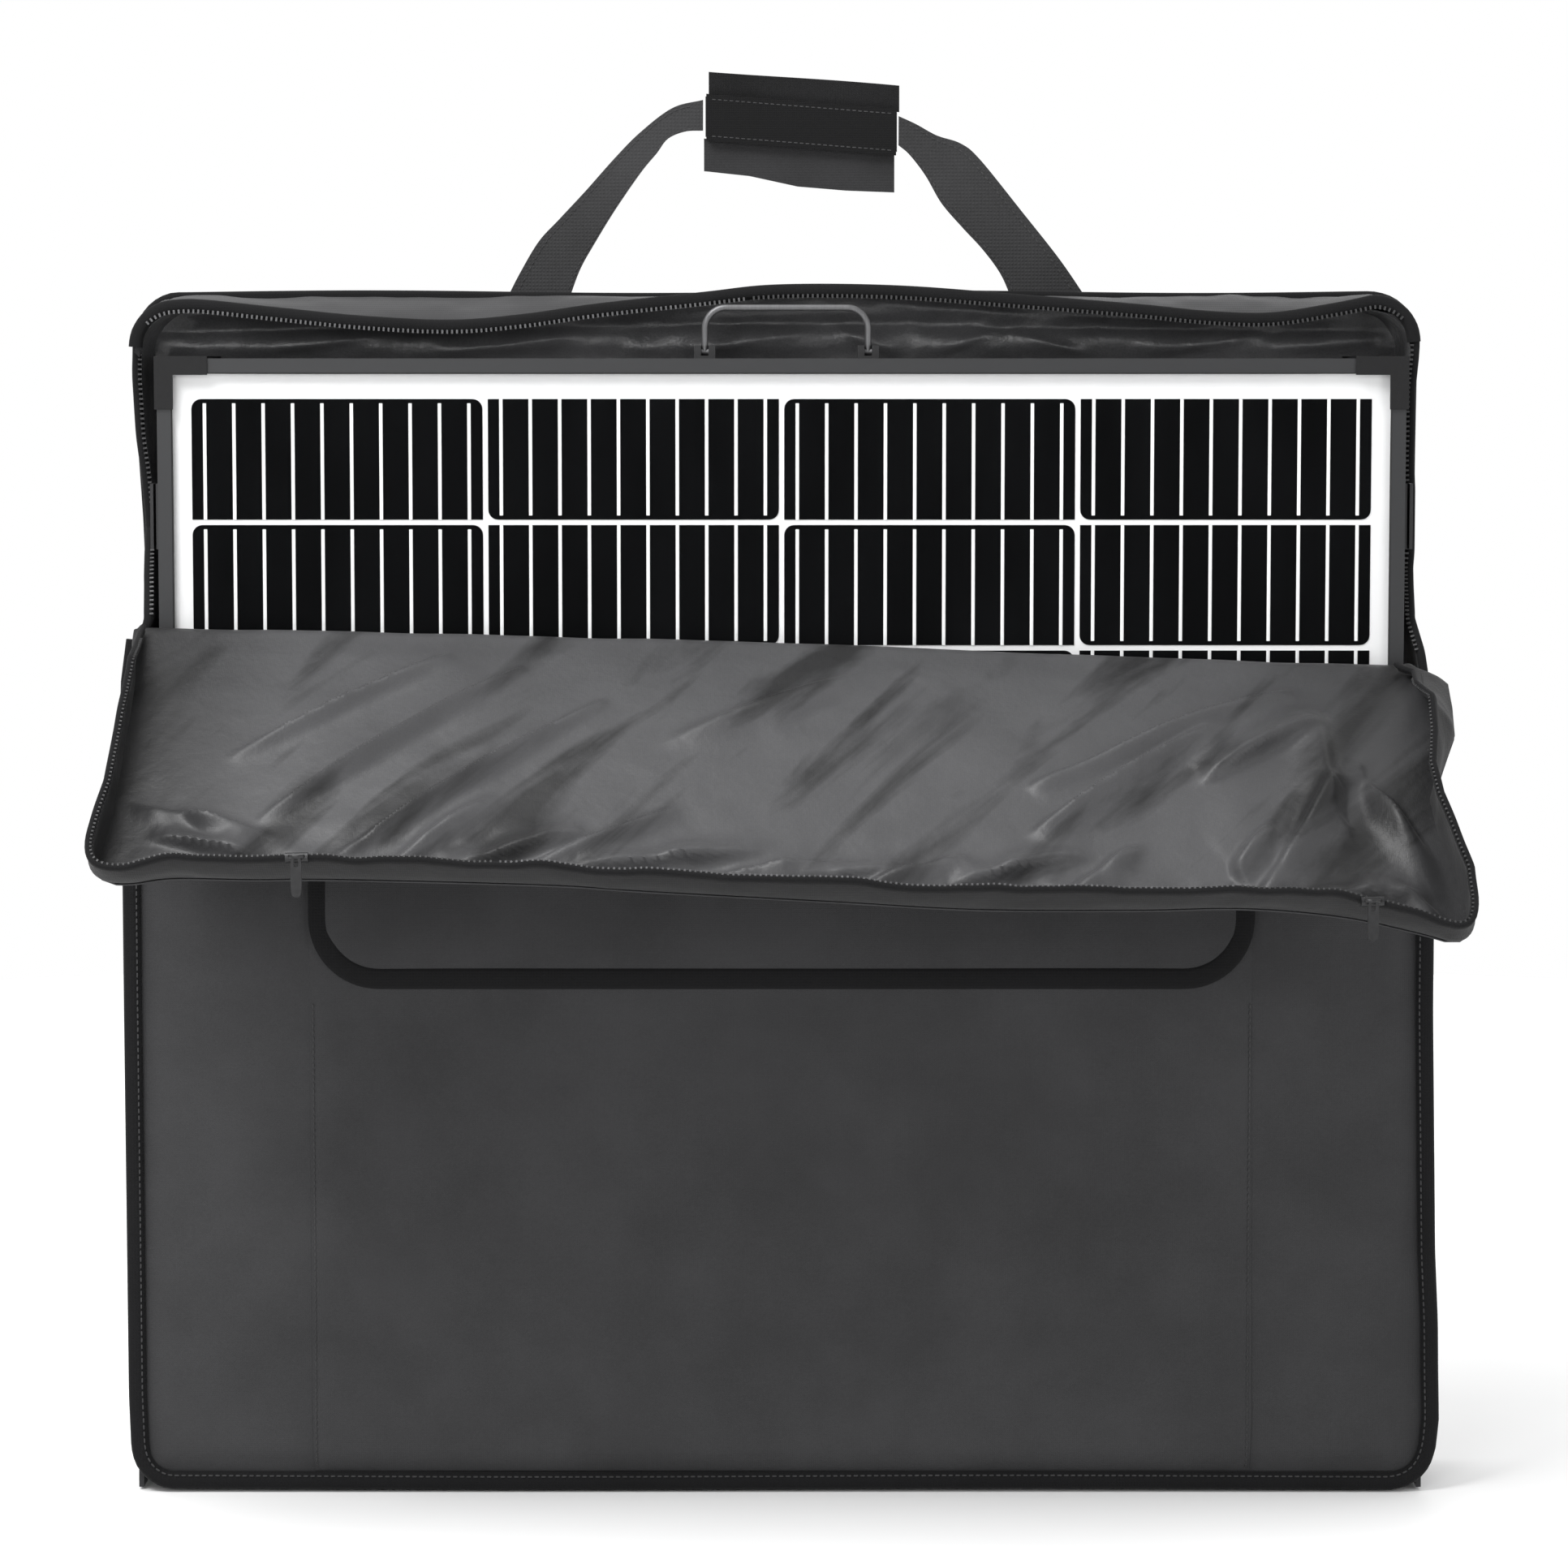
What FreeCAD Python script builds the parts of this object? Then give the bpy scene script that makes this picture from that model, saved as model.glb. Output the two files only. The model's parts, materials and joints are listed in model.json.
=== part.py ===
import FreeCAD, Part
import os
import re
import sys

import Sketcher

os.makedirs("parts", exist_ok=True)
doc = FreeCAD.newDocument("solar_suitcase_kit")

# Driving sizes in millimetres and degrees. X runs across the bag, its front faces -Y, +Z is up and
# the origin lies on the ground under the middle of the bag.
sizes = {
    # carry bag
    "case_room": 3,
    "side_room": 20,
    "rim_clear": 1.7,
    "rim_lip": 4,
    "wall_pad": 6,
    "side_cloth": 4,
    "floor_pad": 12,
    "ground_lift": 1,
    "binding_width": 11,
    "binding_proud": 3,
    "bag_corner": 22,
    "fold_height": 520,
    "fold_slack": 4,
    # front pocket
    "pocket_width": 582,
    "pocket_height": 440,
    "pocket_cloth": 2.5,
    "cover_width": 594,
    "cover_bottom": 309,
    "cover_top": 470,
    "cover_cloth": 3,
    "cover_corner": 43,
    "piping": 5,
    # folding front flap, shaped like a shallow tray
    "flap_pad": 4,
    "flap_standoff": 2.5,
    "flap_root": 3,
    "flap_turn": 128,
    "tray_depth": 34,
    "tray_cloth": 3,
    "tray_start": 10,
    "tray_low": 4,
    "tray_rise": 60,
    "zip_half": 2.5,
    "zip_gap": 0.6,
    "slider_length": 14,
    "slider_depth": 6,
    "slider_height": 3.2,
    "left_slider_place": -277,
    "right_slider_place": 338,
    "pull_length": 24,
    "pull_width": 6,
    "pull_thick": 1.2,
    # webbing carry handle
    "strap_cloth": 2.5,
    "strap_width": 40,
    "strap_spread": 158,
    "handle_shift": 6,
    "grip_shift": 12,
    "grip_length": 120,
    "grip_rise": 91,
    "grip_width": 26,
    "patch_height": 48,
    "patch_width": 52,
    "patch_cloth": 2,
    "wrap_cloth": 1.6,
    "upper_wing": 14,
    "lower_wing": 24,
    "wing_root": 0.9,
    # folded panel pair
    "case_width": 762,
    "case_height": 682,
    "half_depth": 34.7,
    "seam_gap": 0.6,
    "rail_lip": 8.6,
    "rail_sheet": 2,
    "rail_flange": 18,
    "glass_thick": 3.2,
    "cell_thick": 0.3,
    "backsheet_thick": 0.5,
    "cell_width": 177.8,
    "cell_height": 73.6,
    "cell_gap": 3.3,
    "cell_top_margin": 24.7,
    "guard_leg": 31,
    "guard_lip": 10,
    "guard_sheet": 1.4,
    "guard_foot": 5,
    "hinge_place": 240,
    "hinge_length": 60,
    "hinge_sheet": 1.5,
    "hinge_leaf": 22,
    "hinge_barrel": 4.4,
    "hinge_pin": 2,
    # wire handle on the top rail
    "bail_length": 104,
    "bail_height": 29,
    "bail_wire": 4,
    "bail_bend": 13,
    "bail_shift": 3,
    "bail_foot": 9,
    "bracket_length": 13,
    "bracket_depth": 12,
    "bracket_height": 8,
    "pivot_clearance": 0.3,
    # draw latches on the side rails
    "latch_height": 603,
    "latch_width": 40,
    "latch_reach": 20,
    "latch_pivot": 12,
    "latch_base": 1.5,
    "latch_plate": 2,
    "latch_lift": 1.6,
    "loop_wire": 1.2,
    "loop_width": 24,
    "loop_end": 10,
    "catch_depth": 9,
    "catch_lip": 3.4,
    # electrical pieces and legs between the two panels
    "box_length": 110,
    "box_width": 60,
    "box_depth": 18,
    "box_drop": 70,
    "control_length": 150,
    "control_width": 85,
    "control_depth": 26,
    "control_place": 330,
    "display_length": 52,
    "display_width": 30,
    "button_size": 9,
    "button_height": 2.4,
    "button_spread": 22,
    "terminal_length": 90,
    "terminal_depth": 14,
    "lead_radius": 2.75,
    "leg_length": 430,
    "leg_tube": 15,
    "leg_spread": 620,
    "leg_top": 520,
    "leg_bolt": 6,
    # running fit
    "fit": 0.3,
}
cell_columns = 4
cell_rows = 8

# Sizes that follow from the driving ones, so that the bag always goes round the folded panels.
ties = {
    "bag_width": "(case_width + 2 * side_room)",
    "bag_depth": "(2 * (half_depth + seam_gap / 2 + case_room + wall_pad))",
    "bag_height": "(fold_height + flap_length + rim_lip)",
    "flap_length": "(floor_pad + fit + guard_foot + case_height + bracket_height / 2 + bail_height"
                   " + rim_clear + tray_cloth - fold_height)",
    "grip_bottom": "(bag_height + grip_rise)",
    "grip_top": "(bag_height + grip_rise + grip_width)",
}

sheet = doc.addObject("Spreadsheet::Sheet", "dims")
for row, (alias, size) in enumerate(sizes.items(), start=1):
    sheet.set(f"A{row}", alias)
    sheet.set(f"B{row}", str(size))
    sheet.setAlias(f"B{row}", alias)
doc.recompute()

# Places that several pieces share, as expressions over the sheet.
bag_side = "bag_width / 2"
bag_front = "bag_depth / 2"
wall_inside = "(bag_depth / 2 - wall_pad)"
panel_side = "(bag_width / 2 - binding_width / 2)"
binding_side = "(bag_width / 2 + binding_width / 2)"
fold_y = "(bag_depth / 2 + flap_standoff)"
rim_y = f"(tray_depth + 2 * zip_half + zip_gap - {fold_y})"
rim_low_y = f"(flap_pad / 2 + tray_low + 2 * zip_half + zip_gap - {fold_y})"
rim_top = "(fold_height + flap_length)"
strap_y = f"({bag_front} + binding_proud + patch_cloth + fit)"
case_side = "case_width / 2"
case_bottom = "(floor_pad + fit + guard_foot)"
case_top = f"({case_bottom} + case_height)"
case_face = "(half_depth + seam_gap / 2)"
laminate = "(glass_thick + cell_thick + backsheet_thick)"
back_of_glass = f"({case_face} - rail_sheet - {laminate})"
bail_pivot_z = f"({case_top} + bracket_height / 2)"
bail_y = f"({case_face} / 2)"

planes = {"front": ("XZ_Plane", -1), "side": ("YZ_Plane", 1), "top": ("XY_Plane", 1)}
halves = (("front", "-1"), ("back", "1"))
subparts = []


def bind(target, setting, text):
    """Drive one setting of an object from the sheet."""
    def reference(word):
        if word[0] in ties:
            return re.sub(r"[a-z_]+", reference, ties[word[0]])
        return f"dims.{word[0]}" if word[0] in sizes else word[0]
    target.setExpression(setting, re.sub(r"[a-z_]+", reference, text))


def keep(piece, label):
    """Name a finished sub-part and list it for export."""
    piece.Label = label
    subparts.append(piece)
    return piece


def slab(name, x, y, z):
    """A block between two places on each axis."""
    block = doc.addObject("Part::Box", name)
    for side, axis, (start, end) in zip(("Length", "Width", "Height"), "xyz", (x, y, z)):
        bind(block, side, f"({end}) - ({start})")
        bind(block, f"Placement.Base.{axis}", start)
    return block


def rod(name, axis, radius, length, place):
    """A round bar from a place along one axis."""
    turns = {"x": ((0, 1, 0), 90), "y": ((1, 0, 0), -90), "z": ((0, 0, 1), 0)}
    turn_axis, angle = turns[axis]
    bar = doc.addObject("Part::Cylinder", name)
    bar.Placement = FreeCAD.Placement(FreeCAD.Vector(), FreeCAD.Rotation(FreeCAD.Vector(*turn_axis), angle))
    bind(bar, "Radius", radius)
    bind(bar, "Height", length)
    for letter, text in zip("xyz", place):
        bind(bar, f"Placement.Base.{letter}", text)
    return bar


def fuse(name, pieces):
    """One solid from pieces that meet."""
    joined = doc.addObject("Part::MultiFuse", name)
    joined.Shapes = pieces
    joined.Refine = True
    return joined


def cut(name, base, tool):
    """A piece with a hollow taken out of it."""
    result = doc.addObject("Part::Cut", name)
    result.Base = base
    result.Tool = tool
    return result


def group(label, pieces):
    """Several separate solids under one name."""
    together = doc.addObject("Part::Compound", label)
    together.Links = pieces
    return keep(together, label)


def draw(sketch, outline):
    """A closed outline whose corners are each placed from the sheet."""
    first = sketch.GeometryCount
    count = len(outline)
    start_ring = Part.makeCircle(count * 10.0).discretize(count + 1)
    for corner in range(count):
        sketch.addGeometry(Part.LineSegment(start_ring[corner], start_ring[(corner + 1) % count]), False)
    for corner in range(count):
        following = first + (corner + 1) % count
        sketch.addConstraint(Sketcher.Constraint("Coincident", first + corner, 2, following, 1))
    for corner, (across, up) in enumerate(outline):
        point = start_ring[corner]
        for kind, text, value in (("DistanceX", across, point.x), ("DistanceY", up, point.y)):
            number = sketch.addConstraint(Sketcher.Constraint(kind, -1, 1, first + corner, 1, value))
            bind(sketch, f"Constraints[{number}]", text)


def corner_edges(solid, sketch, corners):
    """Names of the edges that stand on the given corners of an outline."""
    doc.recompute()
    places = [sketch.Placement.multVec(sketch.Geometry[corner].StartPoint) for corner in corners]
    normal = sketch.Placement.Rotation.multVec(FreeCAD.Vector(0, 0, 1))
    names = []
    for number, edge in enumerate(solid.Shape.Edges, start=1):
        start, end = edge.Vertexes[0].Point, edge.Vertexes[-1].Point
        upright = (end - start).cross(normal).Length < 0.001 < (end - start).Length
        if upright and any((start - place).cross(normal).Length < 0.001 for place in places):
            names.append(f"Edge{number}")
    return names


def plate(name, view, outlines, start, end, rounds=()):
    """A flat piece cut to an outline seen from the front, side or top, with rounded corners."""
    body = doc.addObject("PartDesign::Body", name)
    role, direction = planes[view]
    sketch = body.newObject("Sketcher::SketchObject", f"{name}_outline")
    origin_plane = next(plane for plane in body.Origin.OriginFeatures if plane.Role == role)
    sketch.AttachmentSupport = [(origin_plane, "")]
    sketch.MapMode = "FlatFace"
    bind(sketch, "AttachmentOffset.Base.z", f"{direction} * ({start})")
    for outline in outlines:
        draw(sketch, outline)
    solid = body.newObject("PartDesign::Pad", f"{name}_pad")
    solid.Profile = sketch
    solid.Reversed = direction < 0
    bind(solid, "Length", f"({end}) - ({start})")
    for radius, corners in rounds:
        edges = corner_edges(solid, sketch, corners)
        rounded = body.newObject("PartDesign::Fillet", f"{name}_round_{corners[0]}")
        rounded.Base = (solid, edges)
        bind(rounded, "Radius", radius)
        solid = rounded
    return body


def box_outline(x_low, x_high, z_low, z_high):
    """Corners of an upright rectangle, from the lower left and round."""
    return [(x_low, z_low), (x_high, z_low), (x_high, z_high), (x_low, z_high)]


def on_flap(depth, length):
    """Where a point of the closed flap comes to lie once the flap hangs open, as y and z."""
    turn = "flap_turn * 1deg"
    y = f"(({depth}) * cos({turn}) - ({length}) * sin({turn}) - {fold_y})"
    z = f"(fold_height + ({depth}) * sin({turn}) + ({length}) * cos({turn}))"
    return y, z


def hang_open(body):
    """Turn a piece of the flap from its closed place about the fold."""
    body.Placement = FreeCAD.Placement(FreeCAD.Vector(), FreeCAD.Rotation(FreeCAD.Vector(1, 0, 0), 90))
    bind(body, "Placement.Rotation.Angle", "flap_turn * 1deg")
    bind(body, "Placement.Base.y", f"-{fold_y}")
    bind(body, "Placement.Base.z", "fold_height")
    return body


def bag_walls():
    """Padded back, front and floor of the bag."""
    back = box_outline(f"-{panel_side}", panel_side, "0", "bag_height - binding_width / 2")
    top_corners = [("bag_corner / 2", (2, 3))]
    keep(plate("back_wall", "front", [back], wall_inside, bag_front, top_corners), "back_wall")
    front_top = "fold_height - fold_slack"
    front = box_outline(f"-{panel_side}", panel_side, "ground_lift + binding_width", front_top)
    keep(plate("front_wall", "front", [front], f"-{bag_front}", f"-{wall_inside}"), "front_wall")
    side = f"({bag_side} - side_cloth)"
    floor = slab("floor_block", (f"-{side}", side), (f"-{wall_inside}", wall_inside), ("0", "floor_pad"))
    keep(floor, "bag_floor")


def gussets():
    """Side strips and the soft top strip that join the back wall to the zip."""
    outline = [
        (f"-{wall_inside}", "ground_lift"),
        (wall_inside, "ground_lift"),
        (wall_inside, rim_top),
        (rim_y, rim_top),
        (rim_y, "fold_height + tray_rise"),
        (rim_low_y, "fold_height + tray_start"),
        (f"-{wall_inside}", "fold_height - fold_slack"),
    ]
    inner = f"({bag_side} - side_cloth)"
    keep(plate("left_gusset", "side", [outline], f"-{bag_side}", f"-{inner}"), "left_gusset")
    keep(plate("right_gusset", "side", [outline], inner, bag_side), "right_gusset")
    top = slab("top_strip", (f"-{inner}", inner), (rim_y, wall_inside), (f"{rim_top} - tray_cloth", rim_top))
    keep(top, "top_gusset")


def bindings():
    """Dark piping folded over the raw edges of the front and back walls."""
    front_top = "fold_height - fold_slack"
    inner_low = "ground_lift + binding_width"
    front = [
        (f"-{binding_side}", front_top),
        (f"-{binding_side}", "ground_lift"),
        (binding_side, "ground_lift"),
        (binding_side, front_top),
        (panel_side, front_top),
        (panel_side, inner_low),
        (f"-{panel_side}", inner_low),
        (f"-{panel_side}", front_top),
    ]
    outer_face = f"{bag_front} + binding_proud"
    rounded = [("bag_corner", (1, 2))]
    depth = (f"-({outer_face})", f"-{wall_inside}")
    keep(plate("front_binding", "front", [front], *depth, rounded), "front_binding")
    lip_rows = ("bag_height - binding_width / 2", "bag_height")
    back = [slab("top_lip", (f"-{panel_side}", panel_side), (wall_inside, outer_face), lip_rows)]
    for side, sign in (("left", "-"), ("right", "")):
        strip = [
            (f"{sign}{panel_side}", "ground_lift"),
            (f"{sign}{binding_side}", "ground_lift"),
            (f"{sign}{binding_side}", "bag_height"),
            (f"{sign}{panel_side}", "bag_height"),
        ]
        rounded = [("binding_width / 2", (1, 2))]
        back.append(plate(f"{side}_edge", "front", [strip], wall_inside, outer_face, rounded))
    group("back_binding", back)


def pocket():
    """Flat document pocket on the front wall and the cover that closes it."""
    pocket_low = "ground_lift + binding_width"
    sheet_outline = box_outline("-pocket_width / 2", "pocket_width / 2", pocket_low, "pocket_height")
    back_face = f"-({bag_front})"
    front_face = f"-({bag_front} + pocket_cloth)"
    keep(plate("pocket_sheet", "front", [sheet_outline], front_face, back_face), "front_pocket")
    cover_back = f"-({bag_front} + pocket_cloth + fit)"
    cover_face = f"-({bag_front} + pocket_cloth + fit + cover_cloth)"
    inner = box_outline(
        "piping - cover_width / 2",
        "cover_width / 2 - piping",
        "cover_bottom + piping",
        "cover_top",
    )
    inner_round = [("cover_corner - piping", (0, 1))]
    keep(plate("cover_sheet", "front", [inner], cover_face, cover_back, inner_round), "pocket_cover")
    edge = [
        ("-cover_width / 2", "cover_top"),
        ("-cover_width / 2", "cover_bottom"),
        ("cover_width / 2", "cover_bottom"),
        ("cover_width / 2", "cover_top"),
        ("cover_width / 2 - piping", "cover_top"),
        ("cover_width / 2 - piping", "cover_bottom + piping"),
        ("piping - cover_width / 2", "cover_bottom + piping"),
        ("piping - cover_width / 2", "cover_top"),
    ]
    rounds = [("cover_corner", (1, 2)), ("cover_corner - piping", (5, 6))]
    keep(plate("cover_edge", "front", [edge], cover_face, cover_back, rounds), "pocket_cover_piping")


def flap():
    """The part of the front that unzips and folds down, drawn closed and turned open."""
    half_pad = "flap_pad / 2"
    outer = box_outline(f"-{bag_side}", bag_side, "flap_root", "flap_length")
    panel = plate("flap_face", "front", [outer], f"-{half_pad}", half_pad, [("binding_proud", (2, 3))])
    keep(hang_open(panel), "flap_panel")
    wall = [
        (half_pad, "tray_start"),
        (f"{half_pad} + tray_low", "tray_start"),
        ("tray_depth", "tray_rise"),
        ("tray_depth", "flap_length"),
        (half_pad, "flap_length"),
    ]
    tape = [
        (f"{half_pad} + tray_low", "tray_start"),
        (f"{half_pad} + tray_low + zip_half", "tray_start"),
        ("tray_depth + zip_half", "tray_rise"),
        ("tray_depth + zip_half", "flap_length"),
        ("tray_depth", "flap_length"),
        ("tray_depth", "tray_rise"),
    ]
    inner = f"({bag_side} - tray_cloth)"
    walls, tapes = [], []
    for side, start, end in (("left", f"-{bag_side}", f"-{inner}"), ("right", inner, bag_side)):
        walls.append(hang_open(plate(f"{side}_wall", "side", [wall], start, end)))
        tapes.append(hang_open(plate(f"{side}_tape", "side", [tape], start, end)))
    hem = box_outline(f"-{inner}", inner, half_pad, "tray_depth")
    hem_base = "flap_length - tray_cloth"
    keep(hang_open(plate("hem_wall", "top", [hem], hem_base, "flap_length")), "flap_hem")
    hem_tape = box_outline(f"-{inner}", inner, "tray_depth", "tray_depth + zip_half")
    tapes.append(hang_open(plate("hem_tape", "top", [hem_tape], hem_base, "flap_length")))
    group("flap_side_walls", walls)
    group("flap_zip", tapes)


def rim_zips():
    """The bag's half of the zip, along both sides and the top of the opening."""
    low = f"({rim_low_y} - zip_half)"
    high = f"({rim_y} - zip_half)"
    tape = [
        (low, "fold_height + tray_start"),
        (rim_low_y, "fold_height + tray_start"),
        (rim_y, "fold_height + tray_rise"),
        (rim_y, rim_top),
        (high, rim_top),
        (high, "fold_height + tray_rise"),
    ]
    inner = f"({bag_side} - tray_cloth)"
    sides = [
        plate("left_rim_tape", "side", [tape], f"-{bag_side}", f"-{inner}"),
        plate("right_rim_tape", "side", [tape], inner, bag_side),
    ]
    group("side_rim_zips", sides)
    top = slab("top_rim_tape", (f"-{inner}", inner), (high, rim_y), (f"{rim_top} - tray_cloth", rim_top))
    keep(top, "top_rim_zip")


def zip_sliders():
    """Two sliders on the hem's half of the zip, each with a hanging pull tab."""
    slider_back = "(tray_depth + zip_half - slider_depth)"
    slider_low = "(flap_length + fit)"
    slider_middle = f"{slider_back} + slider_depth / 2"
    pivot_y, pivot_z = on_flap(slider_middle, f"{slider_low} + slider_height + pull_thick")
    for side in ("left", "right"):
        place = f"{side}_slider_place"
        ends = (f"{place} - slider_length / 2", f"{place} + slider_length / 2")
        outline = box_outline(*ends, slider_back, f"{slider_back} + slider_depth")
        body = plate(f"{side}_slider_body", "top", [outline], slider_low, f"{slider_low} + slider_height",
                     [("slider_depth / 4", (0, 1, 2, 3))])
        keep(hang_open(body), f"{side}_zip_slider")
        tab = plate(
            f"{side}_tab",
            "front",
            [box_outline("-pull_width / 2", "pull_width / 2", "-pull_length", "0")],
            "-pull_thick / 2",
            "pull_thick / 2",
            [("pull_width / 3", (0, 1, 2, 3))],
        )
        bind(tab, "Placement.Base.x", place)
        bind(tab, "Placement.Base.y", pivot_y)
        bind(tab, "Placement.Base.z", pivot_z)
        keep(tab, f"{side}_zip_pull")


def carry_handle():
    """Webbing handle standing on the back wall, and its open grip wrap."""
    pivot_z = "(bag_height - binding_width / 2 + fit)"
    foot_z = f"({pivot_z} + fit)"
    grip_left = "(grip_shift - grip_length / 2)"
    grip_right = "(grip_shift + grip_length / 2)"
    straps = {"left": ("-1", grip_left), "right": ("1", grip_right)}
    patches = []
    for side, (sign, grip_end) in straps.items():
        foot = f"(handle_shift + {sign} * strap_spread)"
        outline = [
            (f"{foot} - strap_width / 2", foot_z),
            (f"{foot} + strap_width / 2", foot_z),
            (grip_end, "grip_bottom"),
            (grip_end, "grip_top"),
        ]
        if side == "right":
            outline = [outline[0], outline[1], outline[3], outline[2]]
        keep(plate(f"{side}_web", "front", [outline], strap_y, f"{strap_y} + strap_cloth"), f"{side}_strap")
        patch = box_outline(f"{foot} - patch_width / 2", f"{foot} + patch_width / 2",
                            f"{pivot_z} - patch_height", f"{pivot_z} - fit")
        patch_faces = (bag_front, f"{bag_front} + binding_proud + patch_cloth")
        patches.append(plate(f"{side}_patch", "front", [patch], *patch_faces))
    group("handle_patches", patches)
    band = box_outline(grip_left, grip_right, "grip_bottom", "grip_top")
    keep(plate("grip_band", "front", [band], strap_y, f"{strap_y} + strap_cloth"), "grip_webbing")
    core_y = f"({strap_y} + strap_cloth + fit)"
    core = box_outline(f"{grip_left} + fit", f"{grip_right} - fit", "grip_bottom", "grip_top")
    keep(plate("wrap_core", "front", [core], core_y, f"{core_y} + wrap_cloth"), "wrap_core")
    upper = box_outline(f"{grip_left} + fit", f"{grip_right} - fit", "grip_top + wing_root",
                        "grip_top + wing_root + upper_wing")
    keep(plate("wrap_upper", "front", [upper], core_y, f"{core_y} + wrap_cloth"), "wrap_upper_wing")
    lower_y = f"({core_y} + wrap_cloth + fit)"
    lower = box_outline(f"{grip_left} + fit", f"{grip_right} - fit", "grip_bottom - wing_root - lower_wing",
                        "grip_bottom - wing_root")
    keep(plate("wrap_lower", "front", [lower], lower_y, f"{lower_y} + wrap_cloth"), "wrap_lower_wing")


def rail_profile(side, half, across):
    """Section of an aluminium frame rail with a groove for the laminate, from its outer corner."""
    groove = f"(rail_sheet + {laminate})"
    steps = [
        ("0", "0"),
        ("rail_lip", "0"),
        ("rail_lip", "rail_sheet"),
        ("rail_sheet", "rail_sheet"),
        ("rail_sheet", groove),
        ("rail_lip", groove),
        ("rail_lip", f"{groove} + rail_sheet"),
        ("rail_sheet", f"{groove} + rail_sheet"),
        ("rail_sheet", "half_depth - rail_sheet"),
        ("rail_flange", "half_depth - rail_sheet"),
        ("rail_flange", "half_depth"),
        ("0", "half_depth"),
    ]
    return [
        (f"{side} * ({across} - ({inward}))", f"{half} * ({case_face} - ({deep}))")
        for inward, deep in steps
    ]


def mitre(body, name, corners):
    """Cut rail ends off at 45 degrees, to the triangles given as seen from the front."""
    doc.recompute()
    base = body.Tip
    sketch = body.newObject("Sketcher::SketchObject", f"{name}_mitre")
    origin_plane = next(plane for plane in body.Origin.OriginFeatures if plane.Role == "XZ_Plane")
    sketch.AttachmentSupport = [(origin_plane, "")]
    sketch.MapMode = "FlatFace"
    for triangle in corners:
        draw(sketch, triangle)
    pocket_cut = body.newObject("PartDesign::Pocket", f"{name}_ends")
    pocket_cut.Profile = sketch
    pocket_cut.Type = "ThroughAll"
    pocket_cut.Midplane = True
    doc.recompute()
    if pocket_cut.Shape.Volume > base.Shape.Volume - 1:
        sys.exit(f"{name}: the mitre cuts nothing")


def frame_rails(half, sign):
    """Four mitred rails round one panel."""
    ends = {
        "top": (case_top, f"{case_top} - rail_flange"),
        "bottom": (case_bottom, f"{case_bottom} + rail_flange"),
    }
    for side, way in (("left", "-1"), ("right", "1")):
        name = f"{half}_{side}_rail"
        body = plate(name + "_bar", "top", [rail_profile(way, sign, case_side)], case_bottom, case_top)
        triangles = [
            [(f"{way} * {case_side}", outer), (f"{way} * ({case_side} - rail_flange)", outer),
             (f"{way} * ({case_side} - rail_flange)", inner)]
            for outer, inner in ends.values()
        ]
        mitre(body, name, triangles)
        keep(body, name)
    middle = f"({case_bottom} + case_height / 2)"
    for end, way in (("top", "1"), ("bottom", "-1")):
        name = f"{half}_{end}_rail"
        section = [(y, f"{middle} + {z}") for z, y in rail_profile(way, sign, "case_height / 2")]
        body = plate(name + "_bar", "side", [section], f"-{case_side}", case_side)
        outer, inner = ends[end]
        triangles = [
            [(f"{edge} * {case_side}", outer), (f"{edge} * {case_side}", inner),
             (f"{edge} * ({case_side} - rail_flange)", inner)]
            for edge in ("-1", "1")
        ]
        mitre(body, name, triangles)
        keep(body, name)


def span(sign, start, end):
    """Two places on the front or back half, in rising order."""
    if sign == "1":
        return start, end
    return f"-({end})", f"-({start})"


def laminates(half, sign):
    """Glass, cells and backsheet held in the groove of one frame."""
    edge = f"({case_side} - rail_sheet)"
    rows = (f"{case_bottom} + rail_sheet", f"{case_top} - rail_sheet")
    glass_face = f"({case_face} - rail_sheet)"
    cell_face = f"({glass_face} - glass_thick)"
    sheet_face = f"({cell_face} - cell_thick)"
    glass = slab(f"{half}_pane", (f"-{edge}", edge), span(sign, cell_face, glass_face), rows)
    keep(glass, f"{half}_glass")
    sheet_back = f"{sheet_face} - backsheet_thick"
    backing = slab(f"{half}_backing", (f"-{edge}", edge), span(sign, sheet_back, sheet_face), rows)
    cells = []
    for column in range(cell_columns):
        left = f"({column - cell_columns / 2} * (cell_width + cell_gap) + cell_gap / 2)"
        for row in range(cell_rows):
            top = f"({case_top} - cell_top_margin - {row} * (cell_height + cell_gap))"
            cells.append(slab(f"{half}_cell_{column}_{row}", (left, f"{left} + cell_width"),
                              span(sign, sheet_face, cell_face), (f"{top} - cell_height", top)))
    group(f"{half}_cells", cells)
    return backing


def corner_guards(half, sign):
    """Plastic caps over the frame corners; the lower ones stand proud as feet."""
    guards = []
    envelope = slab(f"{half}_envelope", (f"-{case_side}", case_side), span(sign, "seam_gap / 2", case_face),
                    (case_bottom, case_top))
    for side, way in (("left", "-1"), ("right", "1")):
        for end in ("top", "bottom"):
            name = f"{half}_{end}_{side}_guard"
            outer_x = f"({case_side} + guard_sheet)"
            reach_x = f"({case_side} - guard_leg)"
            lip_x = f"({case_side} - guard_lip)"
            if end == "top":
                tall = (f"{case_top} - guard_leg", f"{case_top} + guard_sheet")
                wide = (f"{case_top} - guard_lip", f"{case_top} + guard_sheet")
            else:
                tall = (f"{case_bottom} - guard_foot", f"{case_bottom} + guard_leg")
                wide = (f"{case_bottom} - guard_foot", f"{case_bottom} + guard_lip")
            depth = span(sign, "seam_gap / 2", f"{case_face} + guard_sheet")
            upright = slab(f"{name}_upright", span(way, lip_x, outer_x), depth, tall)
            level = slab(f"{name}_level", span(way, reach_x, outer_x), depth, wide)
            guards.append(cut(name, fuse(f"{name}_block", [upright, level]), envelope))
    return guards


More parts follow.
